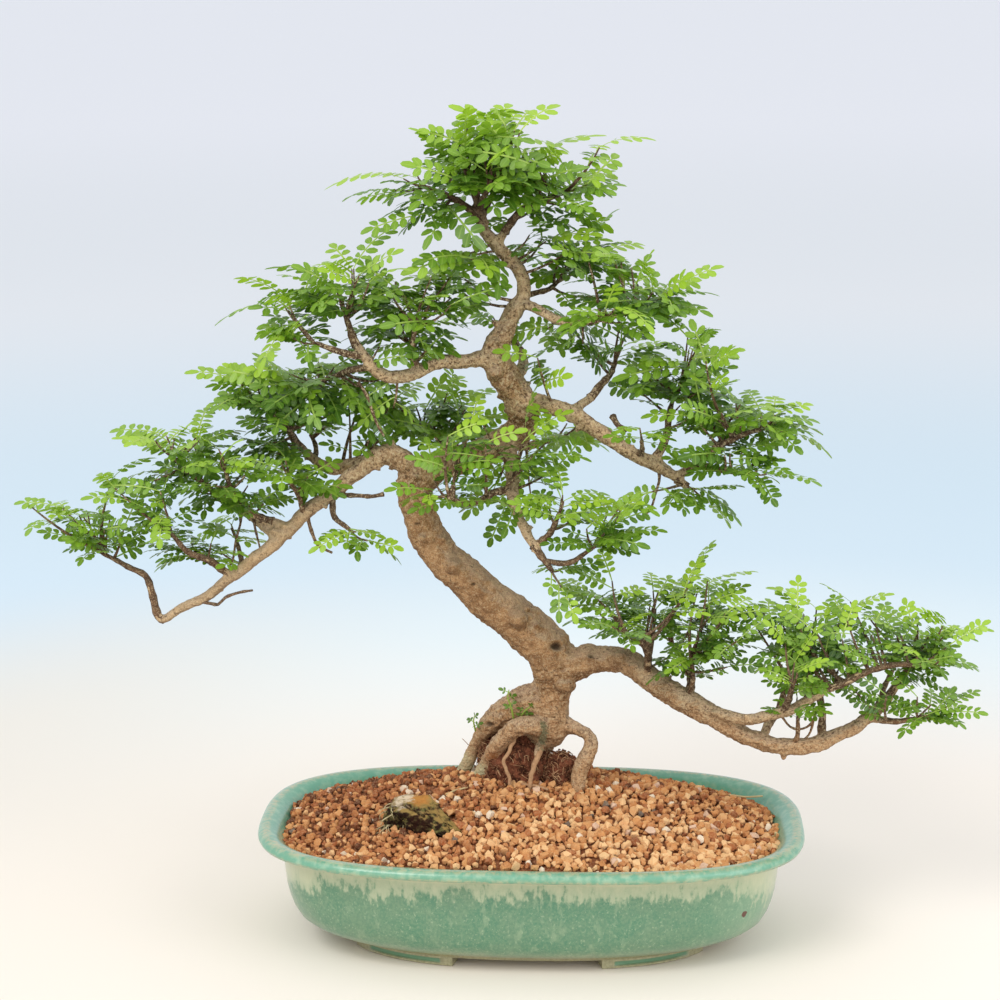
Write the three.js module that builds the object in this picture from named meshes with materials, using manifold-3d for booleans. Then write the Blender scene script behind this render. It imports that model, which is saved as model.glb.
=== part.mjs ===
// A chinese pepper bonsai in its oval glazed pot. Millimetres, +Z up, the pot's feet at z = 0.
// Every position below is measured from the middle of the pot; the whole group is centred at the end.
import * as THREE from "three";
import { mergeVertices } from "three/addons/utils/BufferGeometryUtils.js";
import Module from "manifold-3d";

// Driving dimensions
const POT_LENGTH = 370;
const POT_DEPTH = 232;
const POT_HEIGHT = 80;
const POT_SEGMENTS = 32;
const FOOT_HEIGHT = 6;
const FLOOR_TOP = 13;
const DRAIN_HOLE_RADIUS = 11;
const DRAIN_HOLE_X = 70;
const DRAIN_MESH_SIZE = 40;
const DRAIN_MESH_THICK = 1.2;
const GAP = 0.35;
const SOIL_EDGE = 72;
const SOIL_PEAK = 100;
const SOIL_PITCH = 15.5;
const SOIL_RELIEF = 2;
const LEAF_THICK = 0.7;
const LEAFLET_LENGTH = 8.2;
const LEAFLET_WIDTH = 5;
const LEAFLET_PITCH = 8.4;
const LEAF_STALK = 7;
const RIB_HALF_WIDTH = 0.9;
const LONG_STALK = 13;
const LEAF_CLEARANCE = 3.6;

const wasm = await Module();
wasm.setup();

// A small repeatable random draw
let randomState = 20417;
function random() {
  randomState = (Math.imul(randomState, 1664525) + 1013904223) >>> 0;
  return randomState / 4294967296;
}
function randomBetween(low, high) {
  return low + (high - low) * random();
}

// Closed shapes as solids that can be joined and cut, and back again
function solidFrom(positions, triangles) {
  const geometry = new THREE.BufferGeometry();
  geometry.setAttribute("position", new THREE.Float32BufferAttribute(positions, 3));
  geometry.setIndex(triangles);
  return solidFromGeometry(geometry);
}
function solidFromGeometry(geometry) {
  geometry.deleteAttribute("normal");
  geometry.deleteAttribute("uv");
  const merged = mergeVertices(geometry, 1e-4);
  return new wasm.Manifold(
    new wasm.Mesh({
      numProp: 3,
      vertProperties: new Float32Array(merged.attributes.position.array),
      triVerts: new Uint32Array(merged.index.array),
    }),
  );
}
function geometryFrom(solid) {
  const mesh = solid.getMesh();
  const geometry = new THREE.BufferGeometry();
  geometry.setAttribute("position", new THREE.BufferAttribute(new Float32Array(mesh.vertProperties), 3));
  geometry.setIndex(new THREE.BufferAttribute(new Uint32Array(mesh.triVerts), 1));
  const faceted = geometry.toNonIndexed();
  faceted.computeVertexNormals();
  return faceted;
}
function join(solids) {
  return solids.reduce((whole, solid) => whole.add(solid));
}
function largestPiece(solid) {
  return solid.decompose().reduce((best, piece) => (piece.volume() > best.volume() ? piece : best));
}

// A stack of closed rings, all with the same number of points, skinned into one solid
function skin(rings) {
  const count = rings[0].length;
  const positions = rings.flat(2);
  const triangles = [];
  for (let row = 0; row + 1 < rings.length; row += 1) {
    for (let i = 0; i < count; i += 1) {
      const a = row * count + i;
      const b = row * count + ((i + 1) % count);
      triangles.push(a, b, b + count, a, b + count, a + count);
    }
  }
  const last = (rings.length - 1) * count;
  for (let i = 1; i + 1 < count; i += 1) {
    triangles.push(0, i + 1, i, last, last + i, last + i + 1);
  }
  return solidFrom(positions, triangles);
}

// The pot's plan at any height is a squarish oval
function ovalPoint(halfLength, halfDepth, squareness, angle) {
  const c = Math.cos(angle);
  const s = Math.sin(angle);
  const x = halfLength * Math.sign(c) * Math.abs(c) ** (2 / squareness);
  const y = halfDepth * Math.sign(s) * Math.abs(s) ** (2 / squareness);
  return [x, y];
}
function ovalRing(z, halfLength, halfDepth, squareness) {
  const ring = [];
  for (let i = 0; i < POT_SEGMENTS; i += 1) {
    const turn = (2 * Math.PI * (i + 0.5)) / POT_SEGMENTS;
    const [x, y] = ovalPoint(halfLength, halfDepth, squareness, turn);
    ring.push([x, y, z]);
  }
  return ring;
}

// Pot
const LIP = [POT_LENGTH / 2, POT_DEPTH / 2];
// height, inset of the length, inset of the depth, squareness
const OUTER_WALL = [
  [FOOT_HEIGHT, 57, 37, 2.5],
  [FOOT_HEIGHT + 3, 56, 36, 2.5],
  [13, 37, 28, 2.6],
  [21, 26, 22, 2.8],
  [42, 18.5, 17.5, 3],
  [68, 16, 15.5, 3],
  [72, 3, 3, 3],
  [76, 0, 0, 3],
  [POT_HEIGHT, 4, 4, 3],
];
const INNER_WALL = [
  [POT_HEIGHT, 9, 9, 3],
  [76, 14, 14, 3],
  [62, 22.5, 22, 3],
  [26, 33, 28, 2.8],
  [FLOOR_TOP, 52, 38, 2.5],
];
function wallRing([z, insetLength, insetDepth, squareness], grow) {
  return ovalRing(z, LIP[0] - insetLength + grow, LIP[1] - insetDepth + grow, squareness);
}
function potInterior(shrink) {
  const wall = INNER_WALL.slice(1);
  const rings = wall.map((row) => wallRing(row, -shrink)).reverse();
  rings[0].forEach((point) => point.splice(2, 1, FLOOR_TOP + shrink));
  rings.push(wallRing([POT_HEIGHT + 60, ...wall[0].slice(1)], -shrink));
  return skin(rings);
}
// One corner foot follows the base's curve; its outer face has a shallow sunk panel
function footSector(turn, fromX, toX, inset, depth, z0, z1) {
  const halfLength = LIP[0] - 57;
  const halfDepth = LIP[1] - 37;
  const outer = [];
  const inner = [];
  for (let i = 0; i <= 4; i += 1) {
    const x = fromX + ((toX - fromX) * i) / 4;
    const y = halfDepth * (1 - (x / halfLength) ** 2.5) ** (1 / 2.5);
    const outward = new THREE.Vector2(x / halfLength ** 2, y / halfDepth ** 2).normalize();
    outer.push(new THREE.Vector2(x, y).addScaledVector(outward, -inset));
    inner.unshift(new THREE.Vector2(x, y).addScaledVector(outward, -inset - depth));
  }
  const plan = new THREE.Shape([...outer, ...inner].map((p) => p.multiply(turn)));
  const block = new THREE.ExtrudeGeometry(plan, { depth: z1 - z0, bevelEnabled: false });
  block.translate(0, 0, z0);
  return solidFromGeometry(block);
}
function cornerFoot(turn) {
  const block = footSector(turn, 50, 118, 1, 13, 0, FOOT_HEIGHT + 1);
  const panel = footSector(turn, 58, 108, -3, 5.2, 1.6, FOOT_HEIGHT - 1);
  return block.subtract(panel);
}
function makePot() {
  const rings = OUTER_WALL.map((row) => wallRing(row, 0));
  const hollow = INNER_WALL.map((row) => wallRing(row, 0)).reverse();
  hollow.push(wallRing([POT_HEIGHT + 1, 8.2, 8.2, 3], 0));
  let pot = skin(rings).subtract(skin(hollow));
  for (const [x, y] of [[1, 1], [-1, 1], [-1, -1], [1, -1]]) {
    pot = pot.add(cornerFoot(new THREE.Vector2(x, y)));
  }
  for (const side of [-1, 1]) {
    const drill = new THREE.CylinderGeometry(DRAIN_HOLE_RADIUS, DRAIN_HOLE_RADIUS, 30, 16);
    drill.rotateX(Math.PI / 2);
    drill.translate(side * DRAIN_HOLE_X, 0, FLOOR_TOP - 5);
    pot = pot.subtract(solidFromGeometry(drill));
  }
  return pot;
}

// Drain meshes lie on the floor over the holes: a square net with nine openings, each turned a little
function squareOutline(centreX, centreY, radius, turn) {
  return [0, 1, 2, 3].map((corner) => {
    const angle = turn + (Math.PI * (corner + 0.5)) / 2;
    return new THREE.Vector2(centreX + radius * Math.cos(angle), centreY + radius * Math.sin(angle));
  });
}
function makeDrainMesh(side) {
  const plate = new THREE.Shape(squareOutline(0, 0, DRAIN_MESH_SIZE * Math.SQRT1_2, 0));
  for (const row of [-1, 0, 1]) {
    for (const column of [-1, 0, 1]) {
      const turn = 0.05 * (3 * row + column) + 0.02;
      plate.holes.push(new THREE.Path(squareOutline(column * 12, row * 12, 6.2, turn)));
    }
  }
  const net = new THREE.ExtrudeGeometry(plate, { depth: DRAIN_MESH_THICK, bevelEnabled: false });
  net.translate(side * DRAIN_HOLE_X, 0, FLOOR_TOP + GAP);
  return solidFromGeometry(net);
}

// Wood: each limb is a list of [x, y, z, radius] from its root to its tip
const TRUNK = {
  trunk: [
    [7, 33, 115, 6.5], [7, 32, 123, 11.5], [9, 31, 133, 16], [9, 30, 144, 16], [11, 29, 155, 14.6],
    [14, 27, 166, 14], [15, 26, 175, 14.8], [14, 24, 186, 16.5], [-1, 22, 203, 15.8],
    [-19, 20, 219, 14.8], [-38, 18, 236, 13.4], [-57, 15, 255, 12.8], [-72, 12, 276, 12],
    [-78, 10, 297, 11.6], [-80, 10, 314, 12], [-75, 13, 326, 9],
  ],
  upper_trunk: [
    [-79, 10, 311, 11.5], [-66, 18, 318, 10.5], [-43, 28, 325, 10], [-21, 30, 336, 10],
    [-7, 24, 350, 10.5], [-10, 16, 367, 10.5], [-19, 10, 383, 10], [-25, 8, 398, 9.5], [-21, 8, 411, 8],
    [-13, 10, 425, 6.3], [-7, 12, 437, 5.3], [-7, 14, 447, 5], [-14, 15, 458, 4.8], [-25, 15, 468, 4.5],
    [-34, 15, 480, 4.2], [-37, 15, 494, 3.4], [-40, 12, 508, 2.6],
  ],
};
const ROOTS = {
  front_left: [
    [12, 24, 133, 7], [3, 15, 139, 7], [-6, 11, 142, 7], [-13, 12, 138, 6.9], [-20, 16, 130, 6.8],
    [-26, 22, 119, 6.6], [-31, 28, 109, 6.4], [-35, 34, 98, 6], [-38, 38, 87, 5],
  ],
  left: [
    [9, 30, 154, 14], [-4, 31, 151, 12.5], [-16, 33, 144, 10.5], [-27, 35, 136, 8.4], [-35, 37, 128, 6],
    [-41, 40, 117, 4], [-46, 43, 105, 4.8], [-52, 46, 92, 4.8],
  ],
  right_arch: [
    [16, 27, 139, 7], [28, 21, 137, 5], [35, 18, 135, 4.7], [39, 16, 132, 4.8], [40, 14, 126, 5.4],
    [37, 12, 119, 6.2], [33, 10, 111, 5.8], [31, 8, 103, 5.4], [30, 7, 90, 4.5],
  ],
  back_right: [[4, 40, 134, 9], [4, 50, 118, 7], [5, 60, 104, 6], [8, 70, 86, 4]],
  back: [[4, 38, 132, 10], [-8, 50, 116, 8], [-20, 62, 100, 6.5], [-30, 71, 82, 4]],
  thin_left: [
    [-13, 14, 130, 2.4], [-16, 11, 122, 1.8], [-19, 8, 116, 1.8], [-16, 5, 107, 1.8], [-13, 3, 90, 1.5],
  ],
  thin_middle: [
    [5, 22, 124, 3.4], [4, 10, 119, 2.5], [1, 6, 112, 2.1], [-1, 3, 103, 1.9], [-1, 2, 86, 1.6],
  ],
};
const BRANCHES = {
  left: [
    [-79, 10, 318, 9], [-94, 6, 329, 7.5], [-110, 2, 324, 6.5], [-122, -2, 315, 5.5], [-134, -4, 304, 5],
    [-146, -6, 296, 5], [-163, -8, 281, 5], [-186, -10, 260, 4.6], [-204, -10, 246, 4.2],
    [-222, -9, 232, 3.8], [-238, -8, 224, 3.3], [-251, -6, 218, 3.1], [-256, -4, 232, 2.7],
    [-261, -3, 247, 2.4], [-272, -4, 253, 2], [-289, -6, 263, 1.4],
  ],
  left_rise: [
    [-107, 4, 325, 6], [-123, 12, 320, 5.2], [-140, 20, 318, 4.2], [-155, 26, 327, 3.4],
    [-167, 30, 341, 2.6], [-179, 32, 354, 1.6],
  ],
  left_fork_front: [
    [-164, -7, 283, 3.6], [-181, -4, 287, 3], [-192, -14, 298, 2.4], [-198, -24, 311, 1.9],
    [-201, -30, 325, 1.4],
  ],
  left_fork_back: [
    [-172, -8, 276, 3.6], [-188, 4, 286, 3.2], [-203, 14, 291, 2.6], [-216, 20, 300, 2],
    [-226, 24, 308, 1.5],
  ],
  left_fork_rise: [[-206, 15, 293, 2.6], [-224, 9, 309, 2], [-241, 3, 327, 1.5]],
  left_fork_low: [
    [-201, -10, 249, 3], [-216, -18, 261, 2.6], [-230, -24, 270, 2.2], [-238, -28, 282, 1.5],
  ],
  left_spur: [[-134, -4, 303, 2.6], [-131, -14, 290, 2], [-120, -22, 284, 1.5]],
  middle_left: [
    [-24, 8, 396, 6.5], [-41, 2, 394, 5.6], [-61, -6, 393, 5.2], [-79, -14, 387, 5],
    [-91, -18, 386, 4.8], [-102, -20, 391, 4.3], [-111, -20, 402, 3.8], [-117, -18, 414, 2.8],
    [-122, -14, 426, 1.6],
  ],
  middle_left_front: [[-109, -20, 400, 3], [-124, -32, 405, 2.4], [-139, -42, 411, 1.5]],
  middle_left_low: [[-104, -20, 393, 2.8], [-122, -8, 388, 2.3], [-142, 2, 378, 1.5]],
  middle_left_up: [[-74, -12, 389, 2.8], [-79, -16, 404, 2.3], [-76, -14, 420, 1.5]],
  right: [
    [-10, 14, 367, 7], [8, 6, 365, 6.3], [30, -2, 357, 6], [54, -6, 342, 5.5], [75, -8, 330, 5],
    [90, -8, 322, 4.2], [103, -10, 313, 2.6],
  ],
  right_rise: [[79, -8, 328, 3.4], [86, 0, 340, 3], [90, 10, 353, 2.4], [93, 18, 366, 1.5]],
  right_reach: [
    [95, -8, 320, 3.4], [109, -12, 329, 3], [120, -14, 339, 2.6], [134, -14, 347, 2.2],
    [150, -12, 353, 1.5],
  ],
  right_low: [[107, -11, 328, 2.6], [117, -17, 327, 2.2], [129, -21, 325, 1.8], [142, -24, 325, 1.4]],
  right_back: [[25, -2, 360, 3.8], [38, 10, 369, 3.2], [48, 24, 378, 2.6], [54, 38, 388, 1.6]],
  right_up: [
    [-10, 10, 431, 4.4], [3, 4, 428, 3.8], [18, -2, 422, 3.3], [36, -6, 421, 2.8], [55, -8, 427, 2.2],
    [72, -8, 430, 1.5],
  ],
  right_up_front: [[30, -5, 421, 2.6], [38, -20, 424, 2.1], [46, -34, 430, 1.4]],
  apex_left: [[-33, 15, 480, 3.2], [-43, 10, 493, 2.7], [-56, 6, 502, 2.2], [-70, 2, 508, 1.5]],
  apex_right: [
    [-25, 15, 468, 3.6], [-14, 12, 484, 3], [-4, 8, 495, 2.4], [8, 6, 500, 2], [21, 4, 505, 1.5],
  ],
  apex_back: [[-36, 15, 486, 2.8], [-30, 28, 498, 2.3], [-26, 42, 508, 1.5]],
  apex_front: [[-37, 15, 492, 2.6], [-32, -2, 502, 2.1], [-28, -16, 508, 1.4]],
  falling_front: [
    [-17, 26, 334, 6.5], [-14, 6, 320, 5.4], [-12, -12, 306, 4.6], [-8, -22, 296, 4],
    [-2, -30, 284, 3.6], [6, -36, 273, 3], [14, -42, 262, 1.6],
  ],
  falling_front_up: [[3, -33, 276, 2.8], [13, -42, 288, 2.3], [19, -50, 303, 1.5]],
  falling_front_side: [[9, -38, 268, 2.2], [27, -44, 269, 2], [41, -46, 279, 1.4]],
  falling_front_left: [
    [-13, -8, 310, 3], [-25, -18, 308, 2.6], [-40, -26, 304, 2.1], [-56, -32, 309, 1.5],
  ],
  back: [
    [-63, 20, 319, 6.5], [-60, 38, 324, 5.2], [-66, 56, 332, 4.2], [-80, 68, 339, 3.2],
    [-97, 76, 346, 1.8],
  ],
  back_right_limb: [[-30, 30, 331, 6], [-20, 48, 328, 4.4], [-4, 62, 326, 3.2], [14, 72, 330, 1.8]],
  back_upper: [
    [-14, 14, 375, 6], [-10, 34, 380, 4.8], [-8, 52, 386, 3.8], [-14, 66, 396, 2.8], [-24, 76, 404, 1.6],
  ],
  low_right: [
    [13, 24, 182, 15], [29, 20, 182, 12.5], [44, 14, 187, 9.5], [61, 6, 189, 8.6], [76, 0, 182, 8.4],
    [91, -6, 172, 8.8], [107, -10, 165, 8.6], [121, -12, 157, 7.6], [138, -14, 147, 6.6],
    [155, -16, 140, 6.2], [177, -17, 137, 5.8], [194, -16, 141, 5.4], [213, -14, 148, 5],
    [228, -10, 157, 4.4], [239, -6, 168, 3.6], [247, -2, 181, 2.4], [256, 0, 194, 1.5],
  ],
  low_right_low: [[226, -11, 155, 3], [241, -17, 156, 2.4], [257, -22, 160, 1.5]],
  low_right_front: [
    [113, -10, 163, 4.6], [138, -24, 159, 4.2], [159, -32, 163, 4], [179, -36, 172, 3.6],
    [196, -36, 183, 3.2], [215, -34, 192, 2.8], [237, -30, 199, 2.2], [258, -26, 198, 1.5],
  ],
  low_right_front_up: [[166, -33, 166, 3], [170, -46, 178, 2.5], [172, -56, 190, 1.5]],
  low_right_middle: [[154, -14, 140, 3.4], [162, 2, 149, 3], [170, 16, 160, 2.5], [174, 28, 172, 1.6]],
  low_right_outer: [[195, -16, 141, 3.2], [196, -4, 156, 2.8], [194, 6, 170, 2.3], [192, 14, 184, 1.6]],
  low_right_back: [[107, -8, 166, 3.6], [107, 10, 176, 3], [102, 26, 186, 2.5], [94, 40, 194, 1.6]],
  low_right_inner: [[78, 0, 180, 3.4], [79, -16, 197, 2.7], [73, -28, 210, 2.2], [64, -36, 218, 1.5]],
  low_right_tip_back: [[228, -10, 157, 2.8], [235, 8, 164, 2.4], [241, 22, 172, 2], [247, 34, 181, 1.4]],
};
// A few more twigs leave the branches part of the way along: [branch, place along it, direction, length]
const TWIGS = [
  ["left", 0.36, [-0.2, -0.5, 0.85], 30],
  ["left", 0.5, [-0.2, 0.9, 0.4], 34],
  ["left_rise", 0.5, [-0.2, 0.8, 0.5], 26],
  ["left_rise", 0.72, [-0.1, -0.85, 0.5], 26],
  ["middle_left", 0.36, [-0.2, 0.85, 0.5], 32],
  ["right", 0.62, [0.1, -0.85, 0.5], 28],
  ["right_reach", 0.5, [0.2, 0.85, 0.5], 26],
  ["low_right", 0.62, [0.1, -0.4, 0.9], 26],
  ["low_right", 0.36, [0.1, -0.3, 0.95], 34],
  ["upper_trunk", 0.62, [0.6, 0.75, 0.2], 40],
];
function limbCurve(points) {
  const places = points.map(([x, y, z]) => new THREE.Vector3(x, y, z));
  return new THREE.CatmullRomCurve3(places, false, "centripetal");
}
function radiusAt(points, t) {
  const place = t * (points.length - 1);
  const row = Math.min(Math.floor(place), points.length - 2);
  return points[row][3] + (points[row + 1][3] - points[row][3]) * (place - row);
}
// A tapering tube with a slightly knotty surface
function limbSolid(points, grow = 0) {
  const curve = limbCurve(points);
  const thickest = Math.max(...points.map((p) => p[3]));
  const sides = thickest > 11 ? 7 : thickest > 6.2 ? 5 : thickest > 3.2 ? 4 : 3;
  const steps = points.length - 1;
  const rings = [];
  let across = new THREE.Vector3(0.31, -0.83, 0.46);
  for (let i = 0; i <= steps; i += 1) {
    const t = i / steps;
    const centre = curve.getPoint(t);
    const along = curve.getTangent(t);
    across = across.clone().addScaledVector(along, -across.dot(along)).normalize();
    const other = new THREE.Vector3().crossVectors(along, across);
    const radius = radiusAt(points, t);
    const ring = [];
    for (let k = 0; k < sides; k += 1) {
      const turn = (2 * Math.PI * k) / sides;
      const knot = 1 + 0.07 * Math.sin(2.3 * i + 1.9 * k + 0.11 * centre.z);
      const reach = radius * knot * (i === steps ? 1 : 1.06) + grow;
      const point = centre
        .clone()
        .addScaledVector(across, reach * Math.cos(turn))
        .addScaledVector(other, reach * Math.sin(turn));
      ring.push(point.toArray());
    }
    rings.push(ring);
  }
  return skin(rings);
}
function twigPoints([branch, place, direction, length]) {
  const parent = { ...TRUNK, ...BRANCHES }[branch];
  const root = limbCurve(parent).getPoint(place);
  const step = new THREE.Vector3(...direction).normalize().multiplyScalar(length / 2);
  const bend = length * 0.08;
  return [
    [root.x, root.y, root.z, 2.2],
    [root.x + step.x + bend, root.y + step.y, root.z + step.z - bend, 1.9],
    [root.x + 2 * step.x, root.y + 2 * step.y, root.z + 2 * step.z, 1.4],
  ];
}
const grown = [TRUNK, ROOTS, BRANCHES].flatMap((table) => Object.values(table));
const limbs = [...grown, ...TWIGS.map(twigPoints)];

// Healed scars stand out as knobs: [x, y, z, radius]
const SCARS = [[-53, 2, 254, 5], [22, 12, 170, 6], [-10, 6, 218, 6.5], [-24, -1, 386, 4], [60, -1, 193, 4.5]];
function lump([x, y, z, radius], stretch = [1, 1, 1]) {
  const stone = new THREE.IcosahedronGeometry(radius, 0);
  stone.scale(...stretch);
  stone.translate(x, y, z);
  return solidFromGeometry(stone);
}
function makeTrunk() {
  const wood = join([...limbs.map((points) => limbSolid(points)), ...SCARS.map((scar) => lump(scar))]);
  const knotHole = lump([18, 9, 198, 5]);
  return largestPiece(wood.subtract(knotHole));
}
function rootClearance() {
  return join([...Object.values(ROOTS), TRUNK.trunk].map((points) => limbSolid(points, 0.6)));
}

// Root ball of peat, held between the roots, with a smaller lump on each side
const ROOT_BALL = [-11, 26, 105];
const ROOT_BALL_HALF = [26, 19, 23];
const SIDE_LUMPS = [[19, 24, 104, 14], [-30, 41, 108, 10]];
function rootBallLump(grow) {
  const ball = new THREE.IcosahedronGeometry(1, 1);
  const position = ball.attributes.position;
  for (let i = 0; i < position.count; i += 1) {
    const v = new THREE.Vector3().fromBufferAttribute(position, i);
    const rough = 1 + 0.07 * Math.sin(7.1 * v.x + 3.3 * v.z) * Math.sin(6.3 * v.y - 4.1 * v.z);
    v.multiplyScalar(rough);
    v.multiply(new THREE.Vector3(...ROOT_BALL_HALF.map((half) => half + grow)));
    position.setXYZ(i, v.x + ROOT_BALL[0], v.y + ROOT_BALL[1], v.z + ROOT_BALL[2]);
  }
  const sides = SIDE_LUMPS.map(([x, y, z, radius]) => lump([x, y, z, radius + grow]));
  return join([solidFromGeometry(ball), ...sides]);
}

// Old root stub on the soil
const STUB = [
  [-92, -38, 80, 6], [-90, -40, 90, 7.5], [-84, -42, 97, 9.5], [-74, -45, 95, 12], [-63, -49, 90, 10],
  [-53, -53, 86, 7], [-44, -56, 83, 3.5],
];

// Soil: a mound of coarse granules, raised towards the tree and full to the lip in front
function soilHeight(x, y) {
  const reachY = y < 32 ? 138 : 70;
  const r2 = ((x + 5) / 172) ** 2 + ((y - 32) / reachY) ** 2;
  const mound = (SOIL_PEAK - SOIL_EDGE) * Math.max(0, 1 - r2);
  const front = 4 * Math.max(0, -y / 105) ** 2;
  return SOIL_EDGE + mound + front;
}
function makeSoilBlock() {
  const columns = Math.ceil(344 / SOIL_PITCH);
  const rows = Math.ceil(212 / (SOIL_PITCH * 0.866));
  const positions = [];
  const triangles = [];
  for (let row = 0; row <= rows; row += 1) {
    for (let column = 0; column <= columns; column += 1) {
      const shift = row % 2 === 0 ? 0 : 0.5;
      const x = (column + shift - columns / 2) * SOIL_PITCH + randomBetween(-2, 2);
      const y = (row - rows / 2) * SOIL_PITCH * 0.866 + randomBetween(-2, 2);
      const grain = (column + (row % 2 === 0 ? 0 : 2) + 3) % 3 === 0 ? SOIL_RELIEF : -SOIL_RELIEF * 0.6;
      positions.push(x, y, soilHeight(x, y) + grain + randomBetween(-0.8, 0.8));
    }
  }
  const top = positions.length / 3;
  for (let i = 0; i < top; i += 1) {
    positions.push(positions[3 * i], positions[3 * i + 1], FLOOR_TOP - 8);
  }
  const across = columns + 1;
  for (let row = 0; row < rows; row += 1) {
    for (let column = 0; column < columns; column += 1) {
      const a = row * across + column;
      const b = a + 1;
      const c = a + across;
      const d = c + 1;
      const pair = row % 2 === 0 ? [a, b, c, b, d, c] : [a, b, d, a, d, c];
      triangles.push(...pair);
      triangles.push(...pair.map((v) => v + top).reverse());
    }
  }
  // Round the border: along the front, up the right side, back along the far side and down the left
  const columnSteps = Array.from({ length: columns }, (_, column) => column);
  const rowSteps = Array.from({ length: rows }, (_, row) => row);
  const border = [
    ...columnSteps,
    ...rowSteps.map((row) => row * across + columns),
    ...columnSteps.map((column) => rows * across + columns - column),
    ...rowSteps.map((row) => (rows - row) * across),
  ];
  border.forEach((a, i) => {
    const b = border[(i + 1) % border.length];
    triangles.push(a, a + top, b + top, a, b + top, b);
  });
  return solidFrom(positions, triangles);
}
function makeSoil(roots) {
  const meshRoom = [-1, 1].map((side) => {
    const room = new THREE.BoxGeometry(DRAIN_MESH_SIZE + 1, DRAIN_MESH_SIZE + 1, 8);
    room.translate(side * DRAIN_HOLE_X, 0, FLOOR_TOP + DRAIN_MESH_THICK + 2 * GAP - 4);
    return solidFromGeometry(room);
  });
  const holes = join([roots, rootBallLump(0.5), limbSolid(STUB, 0.5), ...meshRoom]);
  return largestPiece(makeSoilBlock().intersect(potInterior(GAP)).subtract(holes));
}

// One pinnate leaf: leaflets in pairs and one at the tip, cut from a thin blade that arches over.
// bladeSurface gives the place of a point of the blade, u along its rib and v across it, on an arch
// that leaves base in the direction along, with its upper side turned towards skyward.
function bladeSurface(base, along, skyward, droop) {
  const side = new THREE.Vector3().crossVectors(skyward, along).normalize();
  const up = new THREE.Vector3().crossVectors(along, side).normalize();
  return (u, v, lift = 0) =>
    base
      .clone()
      .addScaledVector(along, u)
      .addScaledVector(side, v)
      .addScaledVector(up, lift - droop * u * u + 0.012 * v * v);
}
function makeLeaf(place, stalk, pairs, scale) {
  const rib = RIB_HALF_WIDTH;
  const outline = [];
  const faces = [];
  const add = (u, v) => outline.push([u * scale, v * (Math.abs(v) > rib ? scale : 1)]) - 1;
  let left = add(0, rib);
  let right = add(0, -rib);
  const leftEdge = [left];
  const rightEdge = [right];
  const advance = (u) => {
    const nextLeft = add(u, rib);
    const nextRight = add(u, -rib);
    faces.push([left, right, nextRight], [left, nextRight, nextLeft]);
    leftEdge.push(nextLeft);
    rightEdge.push(nextRight);
    return [nextLeft, nextRight];
  };
  [left, right] = advance(stalk);
  for (let pair = 0; pair < pairs; pair += 1) {
    const u = stalk + pair * LEAFLET_PITCH;
    const reach = LEAFLET_LENGTH * (pair === 0 ? 0.82 : 1);
    const leaflet = [1, -1].map((sign) => {
      const low = add(u + LEAFLET_PITCH - LEAFLET_WIDTH - 0.4, sign * (rib + reach * 0.92));
      const high = add(u + LEAFLET_PITCH - 0.4, sign * (rib + reach));
      return [low, high];
    });
    leftEdge.push(...leaflet[0]);
    rightEdge.push(...leaflet[1]);
    const [innerLeft, innerRight] = [left, right];
    [left, right] = advance(u + LEAFLET_PITCH);
    faces.push([innerLeft, leaflet[0][1], leaflet[0][0]], [innerLeft, left, leaflet[0][1]]);
    faces.push([innerRight, leaflet[1][0], leaflet[1][1]], [innerRight, leaflet[1][1], right]);
  }
  const end = stalk + pairs * LEAFLET_PITCH;
  const shoulderLeft = add(end + 5, LEAFLET_WIDTH * 0.6);
  const shoulderRight = add(end + 5, -LEAFLET_WIDTH * 0.6);
  const tip = add(end + LEAFLET_LENGTH, 0);
  faces.push([left, right, shoulderRight], [left, shoulderRight, shoulderLeft]);
  faces.push([shoulderLeft, shoulderRight, tip]);
  const loop = [...rightEdge, shoulderRight, tip, shoulderLeft, ...leftEdge.reverse()];
  const positions = [];
  for (const [u, v] of outline) positions.push(...place(u, v, LEAF_THICK / 2).toArray());
  for (const [u, v] of outline) positions.push(...place(u, v, -LEAF_THICK / 2).toArray());
  const under = outline.length;
  const triangles = [];
  for (const [a, b, c] of faces) triangles.push(a, b, c, a + under, c + under, b + under);
  loop.forEach((a, i) => {
    const b = loop[(i + 1) % loop.length];
    triangles.push(a, a + under, b + under, a, b + under, b);
  });
  return solidFrom(positions, triangles);
}

// What stands in the way of a new leaf: earlier sprays and the wood, each as balls along its middle
const crowded = [];
function crowd(balls, owner) {
  const middle = new THREE.Box3().setFromPoints(balls.map((ball) => ball.at)).getCenter(new THREE.Vector3());
  const reach = Math.max(...balls.map((ball) => ball.at.distanceTo(middle)));
  crowded.push({ owner, balls, middle, reach });
}
function crowdWithLimb(points, owner) {
  const curve = limbCurve(points);
  const steps = Math.ceil(curve.getLength() / 4);
  const balls = [];
  for (let i = 0; i <= steps; i += 1) {
    balls.push({ at: curve.getPoint(i / steps), radius: radiusAt(points, i / steps) });
  }
  crowd(balls, owner);
}
function isClear(samples, owner) {
  const middle = new THREE.Box3().setFromPoints(samples).getCenter(new THREE.Vector3());
  const reach = Math.max(...samples.map((p) => p.distanceTo(middle)));
  return crowded.every((thing) => {
    if (thing.middle.distanceTo(middle) > thing.reach + reach + 24) return true;
    const own = thing.owner === owner;
    const room = (ball) => (own ? Math.min(ball.radius, 2) + 1.4 : ball.radius + LEAF_CLEARANCE);
    return thing.balls.every((ball) => samples.every((q) => q.distanceTo(ball.at) > room(ball)));
  });
}
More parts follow.
